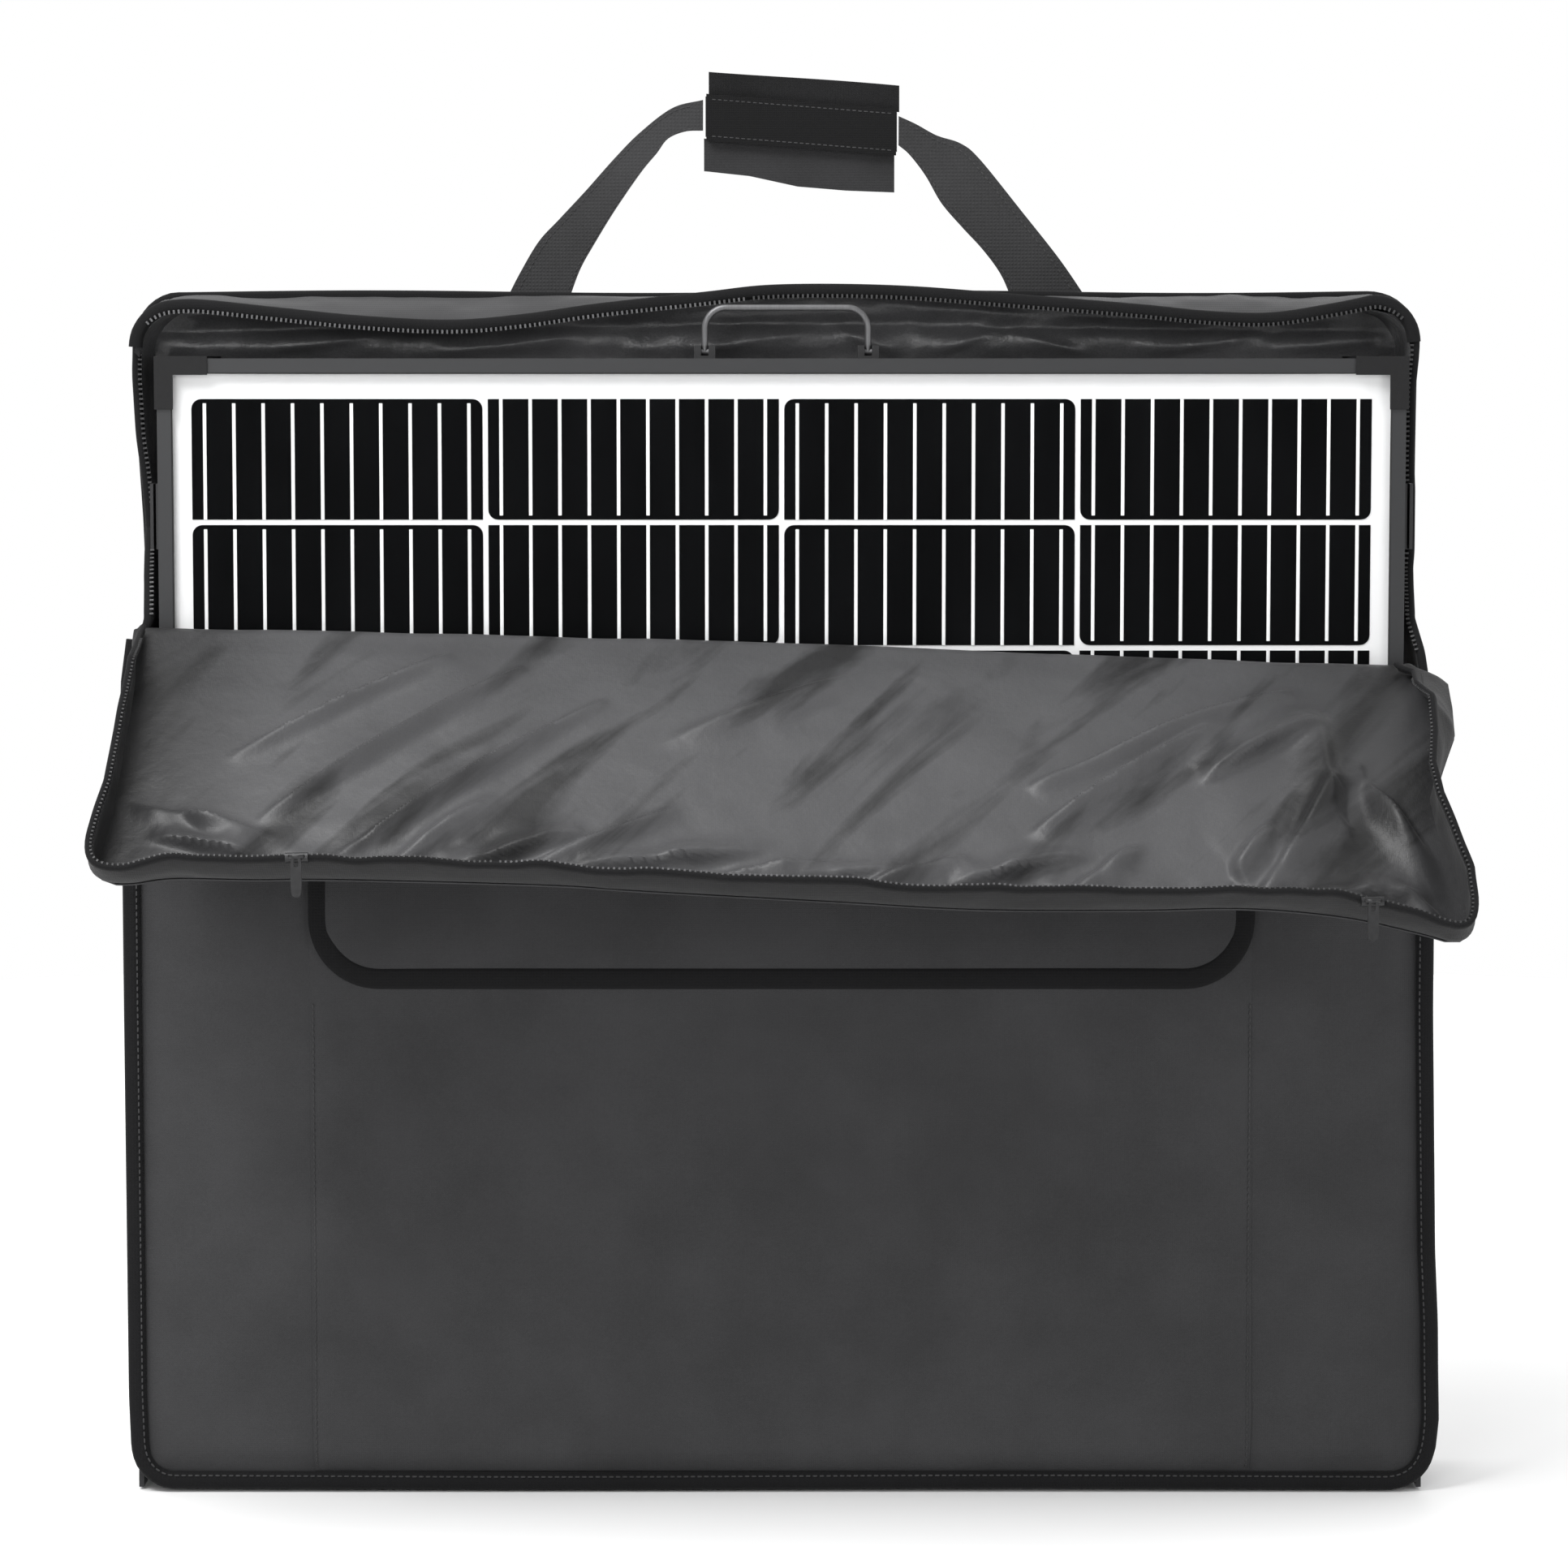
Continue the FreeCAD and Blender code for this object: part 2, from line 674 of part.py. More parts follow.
def case_hinges():
    """Two butt hinges under the lower rails, on which the panels unfold."""
    leaf_z = (f"{case_bottom} - hinge_sheet", case_bottom)
    barrel_z = f"({case_bottom} - hinge_barrel / 2)"
    leaves, pins = [], []
    for side, way in (("left", "-1"), ("right", "1")):
        middle = f"({way} * hinge_place)"
        whole = (f"{middle} - hinge_length / 2", f"{middle} + hinge_length / 2")
        sixth = "hinge_length / 6"
        knuckles = {
            "front": [(f"{middle} - {sixth}", "hinge_length / 3 - fit")],
            "back": [(whole[0], "hinge_length / 3 - fit"), (f"{middle} + {sixth}", "hinge_length / 3 - fit")],
        }
        bore = rod(f"{side}_hinge_bore", "x", "hinge_pin / 2", "hinge_length", (whole[0], "0", barrel_z))
        for half, sign in halves:
            leaf_y = span(sign, "hinge_barrel / 2 + fit / 2", "hinge_leaf")
            leaf = slab(f"{side}_{half}_leaf_sheet", whole, leaf_y, leaf_z)
            rolls = [leaf]
            for number, (start, length) in enumerate(knuckles[half]):
                rolls.append(rod(f"{side}_{half}_roll_{number}", "x", "hinge_barrel / 2", length,
                                 (start, "0", barrel_z)))
                tongue_x = (start, f"{start} + {length}")
                tongue_y = span(sign, "0", "hinge_barrel / 2 + fit")
                tongue_z = (f"{case_bottom} - hinge_sheet", f"{case_bottom} - fit / 3")
                rolls.append(slab(f"{side}_{half}_tongue_{number}", tongue_x, tongue_y, tongue_z))
            leaves.append(cut(f"{side}_{half}_leaf", fuse(f"{side}_{half}_rolled", rolls), bore))
        pins.append(rod(f"{side}_hinge_pin", "x", "hinge_pin / 2", "hinge_length", (whole[0], "0", barrel_z)))
    group("hinge_leaves", leaves)
    group("hinge_pins", pins)


def bail():
    """Wire handle that stands in two brackets on the front panel's top rail."""
    wire = "bail_wire / 2"
    crest_z = f"({bail_pivot_z} + bail_height - {wire})"
    pieces, brackets = [], []
    for side, way in (("left", "-1"), ("right", "1")):
        leg_x = f"(bail_shift + {way} * (bail_length / 2 - {wire}))"
        leg_height = f"{crest_z} - bail_bend - {bail_pivot_z}"
        pieces.append(rod(f"{side}_bail_leg", "z", wire, leg_height, (leg_x, f"-{bail_y}", bail_pivot_z)))
        bend = doc.addObject("Part::Torus", f"{side}_bail_bend")
        bind(bend, "Radius1", "bail_bend")
        bind(bend, "Radius2", wire)
        bend.Angle3 = 90
        start_turn = FreeCAD.Rotation(FreeCAD.Vector(0, 0, 1), 90 if side == "left" else 0)
        upright = FreeCAD.Rotation(FreeCAD.Vector(1, 0, 0), 90)
        bend.Placement = FreeCAD.Placement(FreeCAD.Vector(), upright * start_turn)
        bind(bend, "Placement.Base.x", f"{leg_x} - {way} * bail_bend")
        bind(bend, "Placement.Base.y", f"-{bail_y}")
        bind(bend, "Placement.Base.z", f"{crest_z} - bail_bend")
        pieces.append(bend)
        foot_start = f"({leg_x} - bail_foot / 2)"
        foot_place = (foot_start, f"-{bail_y}", bail_pivot_z)
        pieces.append(rod(f"{side}_bail_foot", "x", wire, "bail_foot", foot_place))
        bracket_x = (f"{leg_x} - bracket_length / 2", f"{leg_x} + bracket_length / 2")
        bracket_y = (f"-{bail_y} - bracket_depth / 2", f"bracket_depth / 2 - {bail_y}")
        saddle = slab(f"{side}_saddle", bracket_x, bracket_y, (case_top, f"{case_top} + bracket_height"))
        room = f"({wire} + pivot_clearance)"
        bore_place = (f"({foot_start} - fit)", f"-{bail_y}", bail_pivot_z)
        bore = rod(f"{side}_saddle_bore", "x", room, "bail_foot + 2 * fit", bore_place)
        swing = slab(
            f"{side}_saddle_slot",
            (f"{leg_x} - {room}", f"{leg_x} + {room}"),
            (f"-{bail_y} - bracket_depth", f"{room} - {bail_y}"),
            (f"{bail_pivot_z} - {room}", f"{case_top} + 2 * bracket_height"),
        )
        brackets.append(cut(f"{side}_bracket", saddle, fuse(f"{side}_saddle_room", [bore, swing])))
    crest_start = f"(bail_shift - bail_length / 2 + {wire} + bail_bend)"
    crest_length = "bail_length - bail_wire - 2 * bail_bend"
    pieces.append(rod("bail_crest", "x", wire, crest_length, (crest_start, f"-{bail_y}", crest_z)))
    keep(fuse("bail_wire_shape", pieces), "bail_handle")
    group("bail_brackets", brackets)


def latches():
    """A draw latch on each side: base and lever on the front panel, catch on the back one."""
    base_x = (case_side, f"{case_side} + latch_base")
    lever_foot = f"{case_side} + latch_base + latch_lift"
    lever_x = (lever_foot, f"{lever_foot} + latch_plate")
    loop_x = (f"{case_side} + latch_base + fit / 2", f"{case_side} + latch_base + fit / 2 + loop_wire")
    tall = ("latch_height - latch_width / 2", "latch_height + latch_width / 2")
    bases, loops, catches = [], [], []
    for side, way in (("left", "-1"), ("right", "1")):
        back_end = "-latch_pivot / 2"
        front_end = "-(latch_pivot + latch_reach)"
        bases.append(slab(f"{side}_latch_base", span(way, *base_x), (front_end, back_end), tall))
        lever = slab(f"{side}_lever_plate", span(way, *lever_x), (front_end, "-latch_pivot"), tall)
        keep(lever, f"{side}_latch_lever")
        loop_rows = ("latch_height - loop_width / 2", "latch_height + loop_width / 2")
        ring = slab(f"{side}_loop_outer", span(way, *loop_x), ("fit - latch_pivot", "loop_end"), loop_rows)
        window = slab(
            f"{side}_loop_window",
            span(way, case_side, f"{lever_foot} + latch_plate"),
            ("2 * loop_wire - latch_pivot + fit", "loop_end - 2 * loop_wire"),
            (f"{loop_rows[0]} + 2 * loop_wire", f"{loop_rows[1]} - 2 * loop_wire"),
        )
        loops.append(cut(f"{side}_loop", ring, window))
        catch_rows = (f"{loop_rows[0]} + 2 * loop_wire + fit", f"{loop_rows[1]} - 2 * loop_wire - fit")
        catch_end = "(loop_end - 2 * loop_wire - fit)"
        block = slab(
            f"{side}_catch_block",
            span(way, case_side, f"{case_side} + latch_base + fit / 2"),
            ("seam_gap / 2 + latch_lift", "loop_end + catch_depth"),
            catch_rows,
        )
        nose = slab(
            f"{side}_catch_nose",
            span(way, case_side, f"{case_side} + latch_base + catch_lip"),
            (f"{catch_end} - catch_lip", catch_end),
            catch_rows,
        )
        catches.append(fuse(f"{side}_catch", [block, nose]))
    group("latch_bases", bases)
    group("latch_loops", loops)
    group("latch_catches", catches)


def electrics():
    """Junction boxes behind both panels, and the charge controller behind the front one."""
    boxes = []
    box_top = f"({case_top} - box_drop)"
    for half, sign in halves:
        depth = span(sign, f"{back_of_glass} - box_depth", back_of_glass)
        rows = (f"{box_top} - box_width", box_top)
        boxes.append(slab(f"{half}_box", ("-box_length / 2", "box_length / 2"), depth, rows))
    group("junction_boxes", boxes)
    face = f"({back_of_glass} - control_depth)"
    low = "(control_place - control_width / 2)"
    high = "(control_place + control_width / 2)"
    housing = slab("control_case", ("-control_length / 2", "control_length / 2"),
                   (f"-{back_of_glass}", f"-{face}"), (low, high))
    display_z = ("control_place - display_width / 2", "control_place + display_width / 2")
    display_room = slab("display_room", ("-display_length / 2", "display_length / 2"),
                        (f"-{face} - rail_sheet", f"-{face}"), display_z)
    wells = [display_room]
    for side, way in (("left", "-1"), ("right", "1")):
        middle = f"({way} * (display_length / 2 + button_spread))"
        rows = ("control_place - button_size / 2", "control_place + button_size / 2")
        wells.append(slab(
            f"{side}_button_well",
            (f"{middle} - button_size / 2 - fit", f"{middle} + button_size / 2 + fit"),
            (f"-{face} - 2 * button_height", f"-{face}"),
            (f"{rows[0]} - fit", f"{rows[1]} + fit"),
        ))
        button = slab(f"{side}_key", (f"{middle} - button_size / 2", f"{middle} + button_size / 2"),
                      (f"-{face} - button_height / 2", f"-{face} + button_height / 2"), rows)
        keep(button, f"{side}_control_button")
    keep(cut("control_housing", housing, fuse("control_wells", wells)), "controller_housing")
    screen = slab("screen", ("-display_length / 2", "display_length / 2"),
                  (f"-{face} - rail_sheet", f"-{face} - rail_sheet / 2"), display_z)
    keep(screen, "controller_display")
    terminals = slab("terminal_strip", ("-terminal_length / 2", "terminal_length / 2"),
                     (f"-{back_of_glass}", f"-{back_of_glass} + terminal_depth"),
                     (f"{low} - terminal_depth", low))
    keep(terminals, "controller_terminals")
    lead_y = f"(lead_radius - {back_of_glass})"
    lead_x = "(box_length / 4)"
    lead = rod("front_lead", "z", "lead_radius", f"{box_top} - box_width - {high}", (lead_x, lead_y, high))
    keep(lead, "inner_lead")


def legs():
    """A pair of folded prop legs inside each panel, bolted to cleats on the backsheet."""
    bars, bolts = [], []
    for half, sign in halves:
        depth = span(sign, f"{back_of_glass} - leg_tube - rail_sheet", f"{back_of_glass} - rail_sheet")
        for side, way in (("left", "-1"), ("right", "1")):
            middle = f"({way} * leg_spread / 2)"
            bar_x = (f"{middle} - leg_tube / 2", f"{middle} + leg_tube / 2")
            bar = slab(f"{half}_{side}_leg_bar", bar_x, depth, ("leg_top - leg_length", "leg_top"))
            hole_z = "(leg_top - leg_tube)"
            start, end = span(sign, f"{back_of_glass} - leg_tube - 2 * rail_sheet", back_of_glass)
            hole = rod(f"{half}_{side}_leg_hole", "y", "leg_bolt / 2 + fit / 2", f"({end}) - ({start})",
                       (middle, start, hole_z))
            bars.append(cut(f"{half}_{side}_leg", bar, hole))
            bolts.append(rod(f"{half}_{side}_leg_bolt", "y", "leg_bolt / 2", f"({end}) - ({start})",
                             (middle, start, hole_z)))
    group("prop_legs", bars)
    group("leg_bolts", bolts)


def check_model():
    """Stop when any object failed or any sub-part has no sound shape."""
    doc.recompute()
    for item in doc.Objects:
        if "Invalid" in item.State or "Error" in item.State:
            sys.exit(f"{item.Name} did not compute: {item.State}")
    for piece in subparts:
        if piece.Shape.isNull() or not piece.Shape.isValid() or not piece.Shape.Solids:
            sys.exit(f"{piece.Label} has no valid solid")


bag_walls()
gussets()
bindings()
pocket()
flap()
rim_zips()
zip_sliders()
carry_handle()
for half_name, half_sign in halves:
    frame_rails(half_name, half_sign)
group("backsheets", [laminates(*half) for half in halves])
group("corner_guards", [guard for half in halves for guard in corner_guards(*half)])
case_hinges()
bail()
latches()
electrics()
legs()
check_model()

for piece in subparts:
    piece.Shape.exportStep(f"parts/{piece.Label}.step")
print(len(subparts), "sub-parts written")
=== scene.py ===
import json
import math

import bmesh
import bpy
import numpy as np
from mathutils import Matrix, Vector


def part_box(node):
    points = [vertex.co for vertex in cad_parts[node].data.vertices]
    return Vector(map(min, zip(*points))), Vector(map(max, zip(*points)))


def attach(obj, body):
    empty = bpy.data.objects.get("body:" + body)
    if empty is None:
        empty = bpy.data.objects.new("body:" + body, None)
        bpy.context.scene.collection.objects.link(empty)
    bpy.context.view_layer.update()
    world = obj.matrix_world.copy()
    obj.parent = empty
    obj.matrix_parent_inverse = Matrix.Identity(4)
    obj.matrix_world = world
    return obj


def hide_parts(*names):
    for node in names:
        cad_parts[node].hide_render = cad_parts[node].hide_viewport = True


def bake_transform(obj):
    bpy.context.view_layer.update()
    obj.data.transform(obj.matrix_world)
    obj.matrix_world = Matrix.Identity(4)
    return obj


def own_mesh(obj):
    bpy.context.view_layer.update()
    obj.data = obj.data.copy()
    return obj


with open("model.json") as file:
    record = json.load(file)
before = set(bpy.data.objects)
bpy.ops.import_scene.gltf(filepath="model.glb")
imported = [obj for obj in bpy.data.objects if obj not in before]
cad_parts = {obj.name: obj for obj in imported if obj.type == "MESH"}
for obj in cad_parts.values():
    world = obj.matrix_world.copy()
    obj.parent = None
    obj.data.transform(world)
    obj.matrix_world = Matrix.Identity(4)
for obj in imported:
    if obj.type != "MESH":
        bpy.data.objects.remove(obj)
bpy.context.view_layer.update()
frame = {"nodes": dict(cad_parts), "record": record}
mm = 0.001
toFront, toBack = (0, -1, 0), (0, 1, 0)


def inMm(node):
    low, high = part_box(node)
    return np.array(low) / mm, np.array(high) / mm


# lines, noise and meshes used by every piece
def curveThrough(points, count):
    # a smooth line through a few points, evenly cut into count points
    p = np.array(points, float)
    p = np.vstack([2 * p[0] - p[1], p, 2 * p[-1] - p[-2]])
    fine = []
    for i in range(1, len(p) - 2):
        for t in np.linspace(0, 1, 24, endpoint=False):
            a, b, c, d = p[i - 1], p[i], p[i + 1], p[i + 2]
            fine.append(0.5 * (2 * b + (c - a) * t + (2 * a - 5 * b + 4 * c - d) * t**2
                               + (3 * b - a - 3 * c + d) * t**3))
    fine.append(p[-2])
    return evenPoints(np.array(fine), count)


def evenPoints(line, count):
    run = np.concatenate([[0], np.cumsum(np.linalg.norm(np.diff(line, axis=0), axis=1))])
    at = np.linspace(0, run[-1], count)
    return np.stack([np.interp(at, run, line[:, k]) for k in range(line.shape[1])], axis=1)


def quarterTurn(across, up, r, start, count, clockwise=False):
    # points round a quarter turn about a centre, from an angle in degrees
    turn = np.linspace(0, math.pi / 2, count)
    angles = math.radians(start) + (-turn if clockwise else turn)
    return [(across + r * math.cos(t), up + r * math.sin(t)) for t in angles]


def lineLength(line):
    return float(np.linalg.norm(np.diff(line, axis=0), axis=1).sum())


def smoothStep(value, start, end):
    t = np.clip((np.asarray(value, float) - start) / (end - start), 0, 1)
    return t * t * (3 - 2 * t)


def softNoise(a, b, size, seed):
    # smooth noise from -1 to 1 over two coordinates
    table = np.random.default_rng(seed).uniform(-1, 1, (64, 64))
    u, v = np.asarray(a, float) / size, np.asarray(b, float) / size
    i, j = np.floor(u).astype(int), np.floor(v).astype(int)
    fu, fv = u - i, v - j
    fu, fv = fu * fu * (3 - 2 * fu), fv * fv * (3 - 2 * fv)
    at = lambda p, q: table[p % 64, q % 64]
    low = at(i, j) * (1 - fu) + at(i + 1, j) * fu
    high = at(i, j + 1) * (1 - fu) + at(i + 1, j + 1) * fu
    return low * (1 - fv) + high * fv


def foldRelief(a, b, folds):
    # height of soft folds: each is start a, b, end a, b, half width, height, and how one-sided it is
    total = np.zeros(np.shape(a))
    for a0, b0, a1, b1, width, height, lean in folds:
        da, db = a1 - a0, b1 - b0
        length = math.hypot(da, db)
        along = ((a - a0) * da + (b - b0) * db) / length**2
        across = ((a - a0) * db - (b - b0) * da) / length
        beyond = np.maximum(0, np.abs(along - 0.5) - 0.5) * length
        side = np.where(across > 0, width * (1 - lean), width * (1 + lean))
        shape = np.exp(-np.abs(across / side) ** 1.6) * np.exp(-(beyond / width) ** 2)
        total += height * shape * (0.35 + 0.65 * np.sin(math.pi * np.clip(along, 0, 1)) ** 0.7)
    return total


def gridFaces(rows, cols, first=0, wrap=False, turned=False):
    faces = []
    for r in range(rows - 1):
        for c in range(cols if wrap else cols - 1):
            d = (c + 1) % cols
            face = [first + r * cols + c, first + r * cols + d,
                    first + (r + 1) * cols + d, first + (r + 1) * cols + c]
            faces.append(face[::-1] if turned else face)
    return faces


def makePiece(name, points, faces, looks, faceLooks=None, body="bag", slot=None, instead=(), sharp=50):
    mesh = bpy.data.meshes.new(name)
    mesh.from_pydata((np.asarray(points, float) * mm).tolist(), [], faces)
    for look in looks:
        mesh.materials.append(look)
    if faceLooks is not None:
        mesh.polygons.foreach_set("material_index", faceLooks)
    tidy = bmesh.new()
    tidy.from_mesh(mesh)
    bmesh.ops.recalc_face_normals(tidy, faces=tidy.faces)
    tidy.to_mesh(mesh)
    tidy.free()
    mesh.shade_smooth()
    mesh.set_sharp_from_angle(angle=math.radians(sharp))
    piece = bpy.data.objects.new(name, mesh)
    bpy.context.scene.collection.objects.link(piece)
    if body:
        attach(piece, body)
    if instead:
        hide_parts(*instead)
    return piece


def padMesh(name, outer, inner, looks, rim=0, **keep):
    # a closed pad between two grids of the same shape; looks are outer, inner
    rows, cols = outer.shape[:2]
    count = rows * cols
    points = np.vstack([outer.reshape(-1, 3), inner.reshape(-1, 3)])
    faces = gridFaces(rows, cols) + gridFaces(rows, cols, count, turned=True)
    sides = [0] * ((rows - 1) * (cols - 1)) + [min(1, len(looks) - 1)] * ((rows - 1) * (cols - 1))
    edge = [(0, c) for c in range(cols)] + [(r, cols - 1) for r in range(1, rows)]
    edge += [(rows - 1, c) for c in range(cols - 2, -1, -1)] + [(r, 0) for r in range(rows - 2, 0, -1)]
    loop = [r * cols + c for r, c in edge]
    for k, a in enumerate(loop):
        b = loop[(k + 1) % len(loop)]
        faces.append([a, b, b + count, a + count][::-1])
        sides.append(rim)
    return makePiece(name, points, faces, looks, sides, **keep)


def sheetMesh(name, grid, thick, looks, away, **keep):
    # a thin closed sheet from one grid; away points out of its first side
    du, dv = np.gradient(grid, axis=1), np.gradient(grid, axis=0)
    normal = np.cross(du, dv)
    normal /= np.linalg.norm(normal, axis=2, keepdims=True) + 1e-9
    if (normal * np.array(away, float)).sum() < 0:
        normal = -normal
    return padMesh(name, grid + normal * thick / 2, grid - normal * thick / 2, looks, **keep)


def sweepMesh(name, path, facing, profile, looks, closed=False, **keep):
    # a section carried along a path; facing is one direction, or one for each point
    path = np.array(path, float)
    tangent = np.gradient(path, axis=0)
    if closed:
        tangent = (np.roll(path, -1, 0) - np.roll(path, 1, 0)) / 2
    tangent /= np.linalg.norm(tangent, axis=1, keepdims=True) + 1e-9
    up = np.broadcast_to(np.array(facing, float), path.shape).copy()
    side = np.cross(tangent, up)
    side /= np.linalg.norm(side, axis=1, keepdims=True) + 1e-9
    up = np.cross(side, tangent)
    ring = np.array(profile, float)
    grid = path[:, None] + side[:, None] * ring[None, :, :1] + up[:, None] * ring[None, :, 1:2]
    rows, cols = grid.shape[:2]
    faces = gridFaces(rows, cols, wrap=True)
    if closed:
        last = (rows - 1) * cols
        faces += [[last + c, last + (c + 1) % cols, (c + 1) % cols, c] for c in range(cols)]
    else:
        faces += [list(range(cols))[::-1], [(rows - 1) * cols + c for c in range(cols)]]
    return makePiece(name, grid.reshape(-1, 3), faces, looks, **keep)


def roundSection(width, depth, power=3.0, count=14):
    # a rounded section: power 2 is an ellipse, more is squarer
    angles = np.linspace(0, 2 * math.pi, count, endpoint=False) + math.pi / count
    c, s = np.cos(angles), np.sin(angles)
    return np.stack([np.sign(c) * np.abs(c) ** (2 / power) * width / 2,
                     np.sign(s) * np.abs(s) ** (2 / power) * depth / 2], axis=1)


def beads(name, path, facing, size, spacing, look, **keep):
    # a row of small rounded blocks along a path, for zip teeth and stitches
    # size is the length, width and height of each
    path = np.array(path, float)
    count = max(2, int(lineLength(path) / spacing))
    places = evenPoints(path, count + 1)
    middles = (places[1:] + places[:-1]) / 2
    tangent = places[1:] - places[:-1]
    tangent /= np.linalg.norm(tangent, axis=1, keepdims=True) + 1e-9
    run = np.concatenate([[0], np.cumsum(np.linalg.norm(np.diff(path, axis=0), axis=1))])
    facing = np.broadcast_to(np.array(facing, float), path.shape)
    at = (np.arange(count) + 0.5) / count * run[-1]
    up = np.stack([np.interp(at, run, facing[:, k]) for k in range(3)], axis=1)
    side = np.cross(tangent, up)
    side /= np.linalg.norm(side, axis=1, keepdims=True) + 1e-9
    up = np.cross(side, tangent)
    # where along a block, and how thick it is there
    stations = [(-0.5, 0.5), (-0.34, 1.0), (0.34, 1.0), (0.5, 0.5)]
    ring = [(-0.5, -0.5), (0.5, -0.5), (0.5, 0.5), (-0.5, 0.5)]
    points, faces = [], []
    for m, t, s, u in zip(middles, tangent, side, up):
        first = len(points)
        for along, scale in stations:
            for a, b in ring:
                points.append(m + t * along * size[0] + (s * a * size[1] + u * b * size[2]) * scale)
        for k in range(3):
            for c in range(4):
                ringAt, d = first + 4 * k, (c + 1) % 4
                faces.append([ringAt + c, ringAt + d, ringAt + 4 + d, ringAt + 4 + c])
        faces.append([first + 3, first + 2, first + 1, first])
        faces.append([first + 12, first + 13, first + 14, first + 15])
    return makePiece(name, points, faces, [look], **keep)


stitch = {  # size of a stitch, and how far apart they lie
    "binding": ((2.8, 0.8, 0.7), 4.2), "pocket": ((2.6, 0.8, 0.7), 4.0),
    "strap": ((2.4, 0.7, 0.6), 3.8), "grip": ((2.4, 0.7, 0.6), 3.6),
}


def stitches(name, path, facing, kind, **keep):
    return beads(name, path, facing, *stitch[kind], looks["thread"], **keep)


# finishes of the cloth, metal, plastic and cells
def newLook(name):
    look = bpy.data.materials.new(name)
    look.use_nodes = True
    nodes, links = look.node_tree.nodes, look.node_tree.links
    shader = nodes["Principled BSDF"]
    place = nodes.new("ShaderNodeTexCoord")
    return look, nodes, links, shader, place


def newNode(nodes, kind, values=None, **settings):
    # a shader node with its settings and the values of its sockets
    node = nodes.new("ShaderNode" + kind)
    for key, value in settings.items():
        setattr(node, key, value)
    for key, value in (values or {}).items():
        node.inputs[key].default_value = value
    return node


def rampBetween(nodes, links, factor, dark, light, start=0.3, end=0.7):
    ramp = newNode(nodes, "ValToRGB")
    for element, position, colour in zip(ramp.color_ramp.elements, (start, end), (dark, light)):
        element.position = position
        element.color = (*colour, 1)
    links.new(factor, ramp.inputs["Fac"])
    return ramp


def shadesOf(colour, spread):
    return [c * (1 - spread) for c in colour], [min(1, c * (1 + spread)) for c in colour]


def noiseNode(nodes, links, place, scale, detail=3.0, rough=0.55):
    node = newNode(nodes, "TexNoise", {"Scale": scale, "Detail": detail, "Roughness": rough})
    links.new(place.outputs["Object"], node.inputs["Vector"])
    return node


def setRoughness(nodes, links, shader, factor, low, high):
    span = newNode(nodes, "MapRange", {"To Min": low, "To Max": high})
    links.new(factor, span.inputs["Value"])
    links.new(span.outputs["Result"], shader.inputs["Roughness"])


def paintedShadePatches(nodes, links, place, shade, patches):
    # painted shade: long slanting dark patches for fold shadows, and darker far left and right ends
    stretch = (patches["long"], 1.0, patches["short"])
    slant = newNode(nodes, "Mapping", {"Rotation": (0, patches["turn"], 0), "Scale": stretch},
                    vector_type="TEXTURE")
    links.new(place.outputs["Object"], slant.inputs["Vector"])
    streaks = newNode(nodes, "TexNoise", {"Scale": 1.0, "Detail": 5, "Distortion": 0.5})
    links.new(slant.outputs["Vector"], streaks.inputs["Vector"])
    darkTone, lightTone = (patches["dark"],) * 3, (patches["light"],) * 3
    tone = rampBetween(nodes, links, streaks.outputs["Fac"], darkTone, lightTone, 0.36, 0.49)
    axes = newNode(nodes, "SeparateXYZ")
    links.new(place.outputs["Object"], axes.inputs["Vector"])
    factors = [tone.outputs["Color"]]
    # painted shade: the far left and right ends are darkened, the left end more
    for start, end, least in ((-0.40, -0.28, 0.2), (0.39, 0.24, 0.5)):
        span = newNode(nodes, "MapRange", {"From Min": start, "From Max": end, "To Min": least},
                       interpolation_type="SMOOTHSTEP")
        links.new(axes.outputs["X"], span.inputs["Value"])
        factors.append(span.outputs["Result"])
    for factor in factors:
        product = newNode(nodes, "VectorMath", operation="MULTIPLY")
        links.new(shade, product.inputs[0])
        links.new(factor, product.inputs[1])
        shade = product.outputs["Vector"]
    return shade


